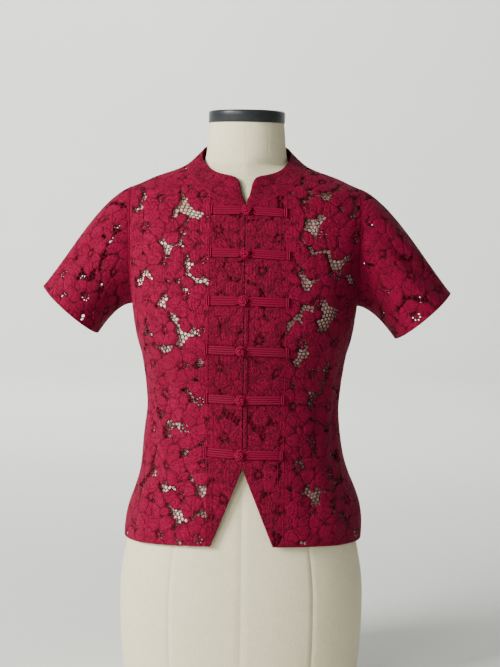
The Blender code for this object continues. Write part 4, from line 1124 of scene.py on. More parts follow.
def cloth_object(name, cloth, flat, triangles, marks, inner):
    """A closed wall of cloth: its outer face in relief and its inner face smooth."""
    rows, columns = cloth.locate(flat)
    outer = cloth.place(rows, columns, marks[:, :1])
    under = cloth.place(rows, columns, inner)
    sides = outer[triangles]
    facing = np.cross(sides[:, 1] - sides[:, 0], sides[:, 2] - sides[:, 0])
    normals = cloth.sample(cloth.normals, rows, columns)[triangles].mean(axis=1)
    turned = (facing * normals).sum(axis=1) < 0
    triangles[turned] = triangles[turned][:, ::-1]
    count = len(flat)
    edges = np.concatenate([triangles[:, [0, 1]], triangles[:, [1, 2]], triangles[:, [2, 0]]])
    codes = edges[:, 0] * count + edges[:, 1]
    border = edges[~np.isin(codes, edges[:, 1] * count + edges[:, 0])]
    a, b = border[:, 0], border[:, 1]
    walls = np.concatenate([np.stack([b, a, a + count], 1), np.stack([b, a + count, b + count], 1)])
    faces = np.concatenate([triangles, triangles[:, ::-1] + count, walls])
    smooth_faces = np.arange(len(faces)) < 2 * len(triangles)
    marks = np.concatenate([marks, marks * (1, 0, 1) + (0, INNER_DEPTH, 0)])
    flat = np.concatenate([flat, flat])
    return mesh_object(name, np.concatenate([outer, under]), faces, smooth_faces, flat, marks)


def lay_flat(mesh, flat):
    """Keeps where each point lies on the flat cloth, in metres, as the mesh's UV map."""
    layer = mesh.uv_layers.new(name="flat cloth")
    corners = np.empty(len(mesh.loops), int)
    mesh.loops.foreach_get("vertex_index", corners)
    layer.uv.foreach_set("vector", (np.asarray(flat)[corners] * MM).ravel())


def note(mesh, label, values):
    layer = mesh.attributes.new(label, "FLOAT", "POINT")
    layer.data.foreach_set("value", np.asarray(values, float))


def shown(name, mesh):
    made = bpy.data.objects.new(name, mesh)
    bpy.context.scene.collection.objects.link(made)
    return made


def mesh_object(name, points, faces, smooth_faces=None, flat=None, marks=None):
    """A mesh in metres from points in millimetres."""
    mesh = bpy.data.meshes.new(name)
    mesh.from_pydata((np.asarray(points) * MM).tolist(), [], np.asarray(faces).tolist())
    if smooth_faces is None:
        smooth_faces = np.ones(len(faces), bool)
    mesh.polygons.foreach_set("use_smooth", smooth_faces)
    if flat is not None:
        lay_flat(mesh, flat)
    if marks is not None:
        note(mesh, "depth", marks[:, 1])
        note(mesh, "tone", marks[:, 2])
    mesh.update()
    return shown(name, mesh)


def plain_cloth(name, cloth, outline, low, high):
    """A plain stretch of cloth with no relief, between two distances out."""
    outline = outline if area_of(outline) > 0 else outline[::-1]
    sheet = Sheet(stepped(outline, OUTLINE_STEP))
    mark = (high, FACING_DEPTH, TONES["wall"])
    sheet.marks = [mark] * len(sheet.marks)
    corner = outline.min(axis=0)
    size = outline.max(axis=0) - corner
    across = np.arange(corner[0], corner[0] + size[0], FACING_STEP)
    up = np.arange(corner[1], corner[1] + size[1], FACING_STEP)
    points = np.stack(np.meshgrid(across, up), axis=-1).reshape(-1, 2)
    points = points[inside(points, outline)]
    for point in points[distance_to(points, outline) > FACING_CLEAR]:
        sheet.spot(point, *mark)
    return cloth_object(name, cloth, *sheet.cut(), low)


def ring_faces(steps, count):
    """Faces between rings of equal length, each ring's points running on from the last."""
    faces = []
    for n in range(steps - 1):
        for k in range(count):
            a, b = n * count + k, n * count + (k + 1) % count
            faces.append((a, b, b + count, a + count))
    return faces


def rings_object(name, rings, flat=None, depth=None):
    """A tube or band through rings, closed at its ends. Depth tells its ridges from its hollows."""
    rings = np.asarray(rings)
    steps, count = rings.shape[:2]
    faces = ring_faces(steps, count)
    points = rings.reshape(-1, 3)
    points = np.concatenate([points, rings[0].mean(axis=0)[None], rings[-1].mean(axis=0)[None]])
    first, last = len(points) - 2, len(points) - 1
    top = (steps - 1) * count
    faces += [(first, (k + 1) % count, k) for k in range(count)]
    faces += [(last, top + k, top + (k + 1) % count) for k in range(count)]
    mesh = bpy.data.meshes.new(name)
    mesh.from_pydata((points * MM).tolist(), [], faces)
    if flat is not None:
        lay_flat(mesh, np.concatenate([np.asarray(flat).reshape(-1, 2), [[0, 0], [0, 0]]]))
    note(mesh, "depth", np.ones(len(points)) if depth is None else np.append(np.ravel(depth), (1.0, 1.0)))
    work = bmesh.new()
    work.from_mesh(mesh)
    bmesh.ops.recalc_face_normals(work, faces=work.faces)
    work.to_mesh(mesh)
    work.free()
    mesh.polygons.foreach_set("use_smooth", [True] * len(mesh.polygons))
    mesh.set_sharp_from_angle(angle=SHARP_ANGLE)
    return shown(name, mesh)


def joined(name, *parts):
    """Several meshes as one piece."""
    with bpy.context.temp_override(active_object=parts[0], selected_editable_objects=list(parts)):
        bpy.ops.object.join()
    parts[0].name = name
    parts[0].data.name = name
    return parts[0]


def band(name, cloth, ends, width, ribs, tall, tapers):
    """A flat braid of round ribs laid on the cloth between two points.

    Tapers gives, for each end, over what length it narrows and to what share.
    """
    start, end = np.array(ends, float)
    long = np.linalg.norm(end - start)
    way = (end - start) / long
    beside = np.array([-way[1], way[0]])
    lift = WALL / 2 + TRIM_GAP
    across = np.linspace(-0.5, 0.5, ribs * RIB_POINTS + 1)
    rib = np.abs(np.sin(np.linspace(0, math.pi * ribs, ribs * RIB_POINTS + 1)))
    tops = tall * (RIB_FOOT + (1 - RIB_FOOT) * rib**RIB_FULLNESS)
    tops[[0, -1]] = tall * BRAID_EDGE
    profile = [(a, t) for a, t in zip(across, tops)] + [(0.5, 0.0), (0.0, 0.0), (-0.5, 0.0)]
    steps = max(6, int(long / BRAID_STEP))
    depth = np.tile([*rib, 0.0, 0.0, 0.0], (steps + 1, 1))
    rings, flats = [], []
    for n in range(steps + 1):
        at = long * n / steps
        share = 1.0
        for reach, (length, least) in ((at, tapers[0]), (long - at, tapers[1])):
            if reach < length:
                share = min(share, least + (1 - least) * math.sin(QUARTER * reach / length))
        flat = np.array([start + way * at + beside * a * width * share for a, _ in profile])
        rows, columns = cloth.locate(flat)
        height = TAPER_HEIGHT + (1 - TAPER_HEIGHT) * share
        rings.append(cloth.place(rows, columns, np.array([[lift + t * height] for _, t in profile])))
        flats.append([(a * width + width * abs(a) * (t == 0), at) for a, t in profile])
    return rings_object(name, rings, flats, depth)


def tube(name, path, radius, closed=False, sides=8):
    """A round cord along a path of points."""
    path = np.asarray(path, float)
    ahead = np.roll(path, -1, axis=0) - np.roll(path, 1, axis=0)
    if not closed:
        ahead[0], ahead[-1] = path[1] - path[0], path[-1] - path[-2]
    ahead /= np.linalg.norm(ahead, axis=1, keepdims=True)
    side = np.cross(ahead[0], (0.0, 1.0, 0.0))
    side /= np.linalg.norm(side)
    turns = np.linspace(0, 2 * math.pi, sides + 1)[:-1]
    rings, flats, run = [], [], 0.0
    for n, (point, way) in enumerate(zip(path, ahead)):
        side = side - way * np.dot(side, way)
        side /= np.linalg.norm(side)
        other = np.cross(way, side)
        ring = point + radius * (np.cos(turns)[:, None] * side + np.sin(turns)[:, None] * other)
        rings.append(ring)
        run += np.linalg.norm(path[n] - path[n - 1]) if n else 0
        flats.append([(radius * turn, run) for turn in turns])
    return rings_object(name, rings, flats)


def frog_frame(cloth, height, along):
    """The knot's place on the cloth, the way out, and the two ways along it."""
    flat = np.array([[along, flat_height(cloth, height)]])
    rows, columns = cloth.locate(flat)
    out = cloth.sample(cloth.normals, rows, columns)[0]
    across = np.array([1.0, 0, 0]) - out * out[0]
    across /= np.linalg.norm(across)
    return cloth.sample(cloth.points, rows, columns)[0], out, across, np.cross(out, across)


def knot(name, cloth, height, along):
    """A ball button knotted from one cord."""
    base, out, across, upward = frog_frame(cloth, height, along)
    centre = base + out * (WALL / 2 + TRIM_GAP + KNOT_HEIGHT + KNOT_CORD)
    t = np.linspace(0, 2 * math.pi, KNOT_POINTS)
    around, through = KNOT_TURNS
    reach = KNOT_RING + KNOT_SWING * np.cos(through * t)
    path = (
        centre
        + across * (reach * np.cos(around * t))[:, None]
        + upward * (reach * np.sin(around * t))[:, None]
        + out * (KNOT_HEIGHT * np.sin(through * t))[:, None]
    )
    cord = tube(name, path, KNOT_CORD, closed=True)
    rings = []
    turns, _ = compass(24)
    for level in np.linspace(-QUARTER, QUARTER, 11)[1:-1]:
        radius = (KNOT_RING + KNOT_CORE) * math.cos(level)
        ring = centre + out * KNOT_HEIGHT * KNOT_CORE_RISE * math.sin(level)
        ring = ring + across * (radius * np.cos(turns))[:, None]
        rings.append(ring + upward * (radius * np.sin(turns))[:, None])
    core = rings_object(f"{name}_core", rings, np.zeros((len(rings), len(turns), 2)))
    return joined(name, cord, core)


def loop_cord(name, cloth, height, along, tilt):
    """The cord loop that runs from the left strap round the knot."""
    base, out, across, upward = frog_frame(cloth, height, along)
    centre = base + out * (WALL / 2 + TRIM_GAP + CORD_RADIUS + LOOP_RISE)
    tall = LOOP_RADIUS * LOOP_FLATNESS
    path = [
        centre + across * LOOP_RADIUS * math.cos(turn) + upward * tall * math.sin(turn)
        for turn in np.radians(np.linspace(*LOOP_TURN, LOOP_POINTS))
    ]
    further, apart, sunk = LOOP_ROOT
    reach = KNOT_RADIUS + STRAP_CLEAR + further
    slope = math.tan(math.radians(tilt))
    for at, end in ((0, 1), (len(path), -1)):
        root = centre + across * reach + upward * (end * apart + slope * reach) - out * sunk
        path.insert(at, root)
    return tube(name, path, CORD_RADIUS)


def seams(front, back):
    """Rounded seam edges where the sides and shoulders of the body are sewn. Fronts go by their side."""
    made = []
    last = 2 * (TORSO_COLUMNS - 1)
    out, radius = SEWN["armhole"]
    for side, cloth in front.items():
        heights, distances = armhole_path(46)
        fore = front_flat(cloth, np.stack([heights, distances], axis=1), side)
        fore = cloth.place(*cloth.locate(fore), out)
        angles = QUARTER - angle_at(heights, distances)
        columns = angles / QUARTER * (TORSO_COLUMNS - 1)
        columns = SPARE + (columns if side > 0 else last - columns)
        aft = back.place(row_of(heights), columns, out)
        hole = np.concatenate([fore, aft[::-1]]) + (side * SLEEVE_GAP / 2, 0, 0)
        made.append(tube(f"armhole_seam_{side}", hole, radius, closed=True))
        column = SPARE + (TORSO_COLUMNS - 1 if side > 0 else 0)
        for label, low, high, count in (
            ("side", HEM_SIDE, UNDERARM, 60),
            ("shoulder", SHOULDER_TIP, NECK_SIDE - 1, 24),
        ):
            rows = row_of(np.linspace(low, high, count))
            path = cloth.place(rows, np.full(count, float(column)), SEWN[label][0])
            made.append(tube(f"{label}_seam_{side}", path, SEWN[label][1]))
    return made


def sleeve_seams(name, cloth):
    """The seam under the sleeve and the one along its top."""
    made = []
    out, radius = SEWN["sleeve"]
    rows = SPARE + np.linspace(0, SLEEVE_STEPS, 30)
    for label, column in (("under", SPARE), ("top", SPARE + SLEEVE_STEPS)):
        path = cloth.place(rows, np.full(len(rows), float(column)), out)
        made.append(tube(f"{name}_{label}_seam", path, radius))
    return made


def neck_seams(cloth):
    """The seam that joins the collar to the neckline, and its crossings with the shoulder seams."""
    low, _ = collar_ends(cloth)
    last = cloth.across.shape[1] - 1
    columns = np.linspace(0.6, last - 0.6, 150)
    out, radius = SEWN["neck"]
    path = cloth.place(np.full(len(columns), low - NECK_SEAM_DROP), columns, out)
    made = [tube("neck_seam", path, radius)]
    back, down = CROSSING_START
    for side in (-1, 1):
        top = path[np.argmax(side * path[:, 0])]
        crossing = [top + (side * step, back, down - CROSSING_SLOPE * step) for step in CROSSING_STEPS]
        made.append(tube(f"neck_crossing_{side}", crossing, CROSSING_RADIUS))
    return made


def front_lines(side, width, cloth):
    """The topstitched line and the turned edge that show where the facing ends behind a front."""
    made = []
    for label, (within, radius) in FACING_LINES.items():
        x = width - within
        ends = hem_height(x) + FACING_LINE_ENDS, neck_front_height(x) - FACING_LINE_ENDS
        heights = np.linspace(*ends, 160)
        flat = front_flat(cloth, np.stack([heights, np.full(len(heights), x)], axis=1), side)
        path = cloth.place(*cloth.locate(flat), PETAL_FLOOR - 0.1)
        made.append(tube(f"facing_{label}_{side}", path, radius, sides=6))
    return made


def front_fold(cloth):
    """The left front's folded edge, which stands proud between the lower frogs."""
    made = []
    heights = [row[0] for row in FROGS[2:]]
    for number, (high, low) in enumerate(zip(heights, heights[1:]), 1):
        ends = [(FOLD_FROM_MIDDLE, flat_height(cloth, z)) for z in (low + FOLD_END, high - FOLD_END)]
        tapers = (FOLD_TAPER, FOLD_TAPER)
        made.append(band(f"folded_edge_{number}", cloth, ends, FOLD_WIDTH, 1, FOLD_HEIGHT, tapers))
    return made


def frogs(left, right):
    """The six frogs, each made of two ribbed straps with bound ends, a knot and its loop."""
    made = []
    for number, (height, middle, *straps) in enumerate(FROGS, 1):
        made.append((knot(f"frog_{number}_knot", right, height, middle), f"frog_{number}_knot"))
        sides = (("right", right, -1, *straps[:2]), ("left", left, 1, *straps[2:]))
        for word, cloth, side, end, tilt in sides:
            up, slope = flat_height(cloth, height), math.tan(math.radians(tilt))
            node = f"frog_{number}_strap_{word}"
            start = side * middle + KNOT_RADIUS + STRAP_CLEAR
            ends = [(side * at, up + slope * at) for at in (start, end)]
            strap = band(node, cloth, ends, STRAP_WIDTH, STRAP_SEWN_RIBS, STRAP_RIB, STRAP_TAPERS)
            if side > 0:
                loop = loop_cord(f"{node}_loop", right, height, middle, tilt)
                strap = joined(node, strap, loop)
            bound_end = f"frog_{number}_end_{word}"
            at = end + SEAM_GAP + WRAP_WIDTH / 2
            ends = [(side * at, up + slope * at + way * WRAP_HEIGHT / 2) for way in (-1, 1)]
            tapers = (WRAP_TAPER, WRAP_TAPER)
            wrap = band(bound_end, cloth, ends, WRAP_WIDTH, WRAP_RIBS, WRAP_THICKNESS, tapers)
            made += [(strap, node), (wrap, bound_end)]
    return made


def form_turns():
    """Angles round the form, with a narrow groove's three points at each seam of its cover."""
    fine = math.degrees(SEAM_WIDTH / FORM_GIRTH_RADIUS)
    turns = list(range(-177, 180, 3))
    turns = [turn for turn in turns if min(abs(turn - seam) for seam in FORM_SEAMS) > 1.3]
    for seam in FORM_SEAMS:
        turns += [seam - fine, seam, seam + fine]
    return np.radians(sorted(turns))


def dress_form():
    """The form in its linen cover, with the cover's upright seams sunk in."""
    heights = np.concatenate([FORM_LEVELS[2:], np.arange(6, FORM_TOP, 6.0)])
    heights = np.unique([0, 0.6, 2.0, 4.0, *heights[heights > 5]])
    turns = form_turns()
    points = section_points(form_sections(heights), heights, turns)
    chest = heights > UNDERARM - 100
    points[chest, :, 0] = np.clip(points[chest, :, 0], -FORM_ARM_PLATE, FORM_ARM_PLATE)
    on_seam = np.isclose(turns[:, None], np.radians(FORM_SEAMS)).any(axis=1)
    radius = np.linalg.norm(points[..., :2], axis=2, keepdims=True)
    fade = np.clip((SEAM_TOP - heights) / SEAM_FADE, SEAM_LEAST, 1)[:, None, None]
    sunk = np.where(on_seam, SEAM_DEPTH, 0.0)[None, :, None] * fade
    points[..., :2] *= 1 - sunk / radius
    edge = np.clip(1 - heights / FORM_EDGE, 0, 1)[:, None, None]
    points[..., :2] *= 1 - FORM_EDGE * (1 - np.sqrt(1 - edge**2)) / radius
    run = np.linalg.norm(np.diff(points, axis=1), axis=2)
    across = np.pad(np.cumsum(run, axis=1), ((0, 0), (1, 0)))
    flat = np.stack([across, np.broadcast_to(heights[:, None], across.shape)], axis=-1)
    return rings_object("form", points, flat)


def neck_cap():
    """The turned cap on the form's neck."""
    low, high = FORM_TOP + SEAM_GAP, FORM_TOP + SEAM_GAP + CAP_HEIGHT
    profile = [(CAP_RADIUS - CAP_FOOT, low), (CAP_RADIUS, low + CAP_FOOT)]
    for turn in np.radians(np.linspace(0, 90, 9)):
        inward, down = CAP_ROUND * (1 - math.cos(turn)), CAP_ROUND * (1 - math.sin(turn))
        profile.append((CAP_RADIUS - inward, high - down))
    profile += [(CAP_RADIUS * share, high) for share in (0.7, 0.4, 0.15)]
    turns, _ = compass(96)
    rings = [[(r * math.sin(a), -r * math.cos(a), z) for a in turns] for r, z in profile]
    return rings_object("cap", rings)


# Materials


class Amount:
    """A value that changes over a surface. Sums and products of it add Math nodes."""

    def __init__(self, paint, socket):
        self.paint, self.socket = paint, socket

    def math(self, operation, *others):
        made = self.paint.node("ShaderNodeMath", {"operation": operation}, dict(enumerate(others)))
        return Amount(self.paint, made.outputs[0])

    def __add__(self, other):
        return self.math("ADD", self, other)

    def __sub__(self, other):
        return self.math("SUBTRACT", self, other)

    def __rsub__(self, other):
        return self.math("SUBTRACT", other, self)

    def __mul__(self, other):
        return self.math("MULTIPLY", self, other)

    __radd__, __rmul__ = __add__, __mul__

    def sine(self):
        return self.math("SINE", self)

    def ripple(self, pitch):
        """From -1 to 1 and back over each pitch."""
        return (self * (2 * math.pi / pitch)).sine()

    def absolute(self):
        return self.math("ABSOLUTE", self)

    def held(self):
        """Kept between 0 and 1."""
        return self.math("MINIMUM", self.math("MAXIMUM", self, 0.0), 1.0)


class Paint:
    """One material's nodes."""

    def __init__(self, name, roughness, **fixed):
        self.material = bpy.data.materials.new(name)
        self.material.use_nodes = True
        self.tree = self.material.node_tree
        self.shader = self.tree.nodes["Principled BSDF"]
        self.shader.inputs["Roughness"].default_value = roughness
        for socket, value in fixed.items():
            self.shader.inputs[socket.replace("_", " ")].default_value = value

    def node(self, kind, settings, inputs):
        made = self.tree.nodes.new(kind)
        for setting, value in settings.items():
            setattr(made, setting, value)
        for socket, value in inputs.items():
            self.give(made.inputs[socket], value)
        return made

    def give(self, socket, value):
        if isinstance(value, Amount):
            value = value.socket
        if isinstance(value, bpy.types.NodeSocket):
            self.tree.links.new(value, socket)
        else:
            socket.default_value = value

    def feed(self, socket, value):
        self.give(self.shader.inputs[socket], value)

    def attribute(self, name):
        made = self.node("ShaderNodeAttribute", {"attribute_name": name}, {})
        return Amount(self, made.outputs["Fac"])

    def object_place(self):
        return self.node("ShaderNodeTexCoord", {}, {}).outputs["Object"]

    def stretched(self, place, shares):
        settings = {"operation": "MULTIPLY"}
        return self.node("ShaderNodeVectorMath", settings, {0: place, 1: shares}).outputs["Vector"]

    def cloth_place(self):
        """The place on the flat cloth, across and up, in metres."""
        spot = self.node("ShaderNodeUVMap", {"uv_map": "flat cloth"}, {}).outputs["UV"]
        split = self.node("ShaderNodeSeparateXYZ", {}, {0: spot})
        return spot, Amount(self, split.outputs[0]), Amount(self, split.outputs[1])

    def noise(self, place, scale, detail=2.0):
        settings = {"noise_dimensions": "3D"}
        inputs = {"Vector": place, "Scale": scale, "Detail": detail}
        return Amount(self, self.node("ShaderNodeTexNoise", settings, inputs).outputs["Fac"])

    def blend(self, share, first, second, kind="MIX"):
        settings = {"data_type": "RGBA", "blend_type": kind}
        made = self.node("ShaderNodeMix", settings, {0: share, 6: colour(first), 7: colour(second)})
        return made.outputs[2]

    def bump(self, height, distance, strength=1.0):
        inputs = {"Height": height, "Distance": distance, "Strength": strength}
        self.feed("Normal", self.node("ShaderNodeBump", {}, inputs).outputs["Normal"])


def colour(value):
    return (*value, 1.0) if isinstance(value, tuple) else value


PETAL_BRIGHT = (0.250, 0.0004, 0.035)
PETAL_DEEP = (0.155, 0.0004, 0.020)
# Colour of the net with painted shade, as if the recessed net lay in shade behind the petals; also used
# as a darker thread colour.
SHADED_NET_COLOUR = (0.100, 0.0008, 0.012)
# Colour of sewn lines and veins, and also painted shade in the grooves round each petal.
LINE_AND_SHADE_COLOUR = (0.030, 0.0015, 0.005)
TRIM_BRIGHT = (0.190, 0.0005, 0.026)
TRIM_DEEP = (0.125, 0.0004, 0.016)
# Painted shade for the hollows between a braid's ribs and under its edges.
TRIM_HOLLOW_SHADE = (0.040, 0.0010, 0.005)
LINEN_LIGHT = (0.72, 0.660, 0.455)
LINEN_DARK = (0.59, 0.530, 0.350)
# Painted light: a lighter linen colour for where the top covers the form, so it shows bright through the
# lace's gaps.
LINEN_PAINTED_LIGHT = (0.93, 0.890, 0.740)
CAP_BLACK = (0.012, 0.014, 0.016)
CAP_DUST = (0.03, 0.033, 0.036)
BACKDROP = ((0.58, 0.59, 0.57), (0.62, 0.63, 0.61))
SHEEN_TINT = (0.9, 0.08, 0.22, 1.0)
THREAD = {
    "Sheen_Weight": 0.08,
    "Sheen_Roughness": 0.5,
    "Sheen_Tint": SHEEN_TINT,
    "Specular_IOR_Level": 0.08,
}
# Pitches of ribs, stitches and weaves, in metres
RIB_PITCH = 0.0019
STITCH_PITCH = (0.005, 0.0024)
FACING_PITCH = (0.0052, 0.0058)
BRAID_PITCH = (0.0031, 0.0021)
WEAVE_PITCH = 0.0011
# Painted light on the linen under the top: from and to which height it reaches, the vent's height and
# half its width, in metres
PAINTED_LIGHT_HEIGHTS = (0.230, 0.700)
VENT = (0.340, 0.0469)


def lace_paint(name, doubled=0.0):
    """Satin-stitched petals with fine ribs and sewn veins, over net and grooves darkened with painted
    shade.

    Doubled tells how far from the middle a facing lies behind it, in millimetres.
    """
    paint = Paint(name, 0.7, **THREAD)
    place, across, up = paint.cloth_place()
    depth, tone = paint.attribute("depth"), paint.attribute("tone")
    wander = paint.noise(place, 45.0)
    breaks = paint.noise(place, 110.0)
    ribs = (across * (2 * math.pi / RIB_PITCH) + wander * 11.0).sine() * 0.5 + 0.5
    fuzz = paint.noise(place, 1300.0, 1.0)
    mottle = paint.noise(place, 520.0)
    patch = paint.noise(place, 26.0)
    petal = paint.blend((tone * 0.4 + patch * 0.45 + 0.12).held(), PETAL_DEEP, PETAL_BRIGHT)
    thread = paint.blend((ribs * 0.3 + mottle * 2.4 + fuzz * 0.4 - 1.15).held(), petal, SHADED_NET_COLOUR)
    veined = paint.blend(vein(depth, 3.4, 0.42, breaks) * 0.65, thread, LINE_AND_SHADE_COLOUR)
    stitched = stitched_line(wander, 0.5, 34.0) + stitched_line(breaks, 0.47, 26.0) * 0.8
    if doubled:
        behind = (1.0 - ((across.absolute() - doubled * MM) * 400.0 + 0.5).held()) * 0.9
        under = paint.noise(place, 62.0)
        under = stitched_line(under, 0.5, 26.0) + stitched_line(under, 0.38, 22.0)
        stitched = stitched + under * behind
        veined = paint.blend(behind * 0.34, veined, SHADED_NET_COLOUR)
    veined = paint.blend((stitched * (mottle * 1.6 - 0.15)).held() * 0.75, veined, LINE_AND_SHADE_COLOUR)
    # Painted shade: away from the petals, the net and the grooves round each petal take this dark ground.
    painted_shade_ground = paint.blend((breaks * 3.2 - 1.1).held(), LINE_AND_SHADE_COLOUR, SHADED_NET_COLOUR)
    inside_petal = ((depth + (breaks - 0.46) * 1.3) * 2.2).held()
    paint.feed("Base Color", paint.blend(inside_petal, painted_shade_ground, veined))
    paint.feed("Roughness", (0.74 + fuzz * 0.12 - inside_petal * 0.06).held())
    relief = ribs * inside_petal * 0.6 + fuzz * 0.7 + mottle * 2.2 - stitched * 0.9
    paint.bump(relief, 0.0007, 0.95)
    return paint.material


def stitched_line(wander, level, fineness):
    """A fine line that winds over the cloth, where a wandering value passes a level."""
    return (1.0 - (wander - level).absolute() * fineness).held()


def vein(depth, at, width, breaks):
    """A broken line sewn round inside a petal, at a distance from its edge."""
    line = 1.0 - (depth - at).absolute() * (1.0 / width)
    return (line.held() * (breaks * 4.0 - 1.55).held()).held()


def seam_paint():
    """Overlocked edges and stitches in the lace's own thread."""
    paint = Paint("sewn edge", 0.72, **THREAD)
    place, across, up = paint.cloth_place()
    wide, long = (2 * math.pi / pitch for pitch in STITCH_PITCH)
    stitch = (up * long + across * wide).sine() * 0.5 + 0.5
    patch = paint.noise(place, 90.0)
    paint.feed("Base Color", paint.blend((stitch * 0.5 + patch * 0.5).held(), SHADED_NET_COLOUR, PETAL_DEEP))
    paint.feed("Roughness", (patch * 0.1 + 0.68).held())
    paint.bump(stitch, 0.0004, 0.8)
    return paint.material


def facing_paint():
    """The same lace seen from its dull side, through the front."""
    paint = Paint("lace facing", 0.78, **THREAD)
    place, across, up = paint.cloth_place()
    cells = across.ripple(FACING_PITCH[0]) * up.ripple(FACING_PITCH[1])
    patch = paint.noise(place, 60.0)
    shade = (cells * 0.4 + patch).held()
    paint.feed("Base Color", paint.blend(shade, SHADED_NET_COLOUR, PETAL_DEEP))
    paint.bump(cells + patch, 0.0006, 0.7)
    return paint.material


def trim_paint():
    """Cord braided from two strands."""
    paint = Paint("braided cord", 0.6, **THREAD)
    place, across, up = paint.cloth_place()
    wide, long = (2 * math.pi / pitch for pitch in BRAID_PITCH)
    first = (up * long + across * wide).sine()
    second = (up * long - across * wide).sine()
    braid = (first * second) * 0.5 + 0.5
    fuzz = paint.noise(place, 1500.0, 1.0)
    cord = paint.blend((braid * 0.5 + fuzz * 0.5).held(), TRIM_DEEP, TRIM_BRIGHT)
    # Painted shade: where the depth mark is low, in the hollows between ribs and under each strap, the
    # cord darkens.
    paint.feed("Base Color", paint.blend((paint.attribute("depth") * 1.7 - 0.1).held(), TRIM_HOLLOW_SHADE, cord))
    paint.feed("Roughness", (0.62 - braid * 0.14).held())
    paint.bump(braid + fuzz * 0.3, 0.0004, 0.8)
    return paint.material


def linen_paint():
    """Plain-woven natural linen with slubs, with painted light where the top covers it."""
    paint = Paint("linen cover", 0.88, Sheen_Weight=0.12)
    place, across, up = paint.cloth_place()
    weave = across.ripple(WEAVE_PITCH) * up.ripple(WEAVE_PITCH)
    warp = paint.noise(paint.stretched(place, (900.0, 60.0, 1.0)), 1.0)
    weft = paint.noise(paint.stretched(place, (60.0, 900.0, 1.0)), 1.0)
    slubs = warp * 0.5 + weft * 0.5
    patch = paint.noise(place, 14.0)
    bare = paint.blend((slubs * 2.6 + patch * 0.35 - 1.0).held(), LINEN_DARK, LINEN_LIGHT)
    split = paint.node("ShaderNodeSeparateXYZ", {}, {0: paint.object_place()})
    sideways = Amount(paint, split.outputs[0])
    low, high = PAINTED_LIGHT_HEIGHTS
    vent_top, vent_half_width = VENT
    beside_vent = ((sideways * sideways - vent_half_width**2) * 1500.0).held()
    above_vent = ((up - vent_top) * 100.0).held()
    painted_light_mask = ((up - low) * 100.0).held() * ((high - up) * 60.0).held()
    painted_light_mask = painted_light_mask * (beside_vent + above_vent).held()
    # Painted light: the linen under the top is lightened where the lace shades it.
    paint.feed("Base Color", paint.blend(painted_light_mask * 0.8, bare, LINEN_PAINTED_LIGHT))
    paint.feed("Roughness", (0.94 - slubs * 0.14).held())
    paint.bump(weave * 0.4 + slubs * 2.4, 0.0004, 0.8)
    return paint.material


def cap_paint():
    """Moulded black plastic with a little dust."""
    paint = Paint("black cap", 0.28, Coat_Weight=0.1, Coat_Roughness=0.2, Specular_IOR_Level=0.2)
    dust = paint.noise(paint.object_place(), 220.0, 3.0)
    paint.feed("Base Color", paint.blend((dust * 0.5).held(), CAP_BLACK, CAP_DUST))
    paint.feed("Roughness", (dust * 0.1 + 0.3).held())
    paint.bump(dust, 0.00004, 0.3)
    return paint.material


def backdrop_paint():
    paint = Paint("studio grey", 0.9)
    paint.feed("Base Color", paint.blend(paint.noise(paint.object_place(), 1.2), *BACKDROP))
    return paint.material


# Studio

PHOTO_SIZE = (500, 667)
FOCAL_PIXELS = 1517.0
CAMERA_PLACE = (0.0083, -2.2, 0.7105)
CAMERA_PITCH = 85.0
CAMERA_ROLL = 0.74
# Floor, in metres: where it starts to curve up, the curve's radius, and the wall's top
FLOOR_REACH = 4.2
FLOOR_CURVE = 1.6
WALL_TOP = (5.9, 4.6)
LAMPS = (
    # name, place, aim, size, watts, colour
    ("window", (-2.3, -1.5, 1.7), (0, 0, 0.55), 1.1, 225.0, (1.0, 0.985, 0.95)),
    ("window end", (-1.5, -2.7, 1.4), (0, 0, 0.6), 1.2, 55.0, (1.0, 0.985, 0.95)),
    ("behind", (1.4, 1.9, 2.2), (0, 0, 0.55), 1.6, 16.0, (1.0, 1.0, 0.98)),
    ("wall", (-1.0, 2.2, 3.6), (-0.4, 5.6, 1.2), 1.6, 400.0, (1.0, 1.0, 0.97)),
)


def studio():
    """Pale floor that curves up into a wall all round, soft lights and the photo's camera."""
    profile = [(0.01, 0.0), (2.0, 0.0)]
    for turn in np.linspace(0, QUARTER, 13):
        rise = FLOOR_CURVE * (1 - math.cos(turn))
        profile.append((FLOOR_REACH + FLOOR_CURVE * math.sin(turn), rise))
    profile.append(WALL_TOP)
    turns, _ = compass(72)
    points = [(r * math.sin(a), r * math.cos(a), z) for r, z in profile for a in turns]
    floor = mesh_object("floor", np.array(points) / MM, ring_faces(len(profile), len(turns)))
    floor.data.materials.append(backdrop_paint())
    for label, place, aim, size, watts, shade in LAMPS:
        lamp = bpy.data.lights.new(label, "AREA")
        lamp.energy, lamp.size, lamp.color = watts, size, shade
        made = bpy.data.objects.new(label, lamp)
        made.location = place
        made.rotation_euler = (Vector(aim) - Vector(place)).to_track_quat("-Z", "Y").to_euler()
        made.visible_camera = False
        bpy.context.scene.collection.objects.link(made)
    world = bpy.data.worlds.new("soft room")
    world.use_nodes = True
    sky = world.node_tree.nodes["Background"]
    sky.inputs["Color"].default_value = (0.93, 0.96, 1.0, 1.0)
    sky.inputs["Strength"].default_value = 0.08
    bpy.context.scene.world = world
    lens = bpy.data.cameras.new("photo")
    lens.sensor_width = 36.0
    lens.lens = FOCAL_PIXELS * lens.sensor_width / max(PHOTO_SIZE)
    camera = bpy.data.objects.new("photo", lens)
    turn = Matrix.Rotation(math.radians(CAMERA_PITCH), 4, "X")
    roll = Matrix.Rotation(math.radians(CAMERA_ROLL), 4, "Z")
    camera.matrix_world = Matrix.Translation(CAMERA_PLACE) @ turn @ roll
    bpy.context.scene.collection.objects.link(camera)
    bpy.context.scene.camera = camera


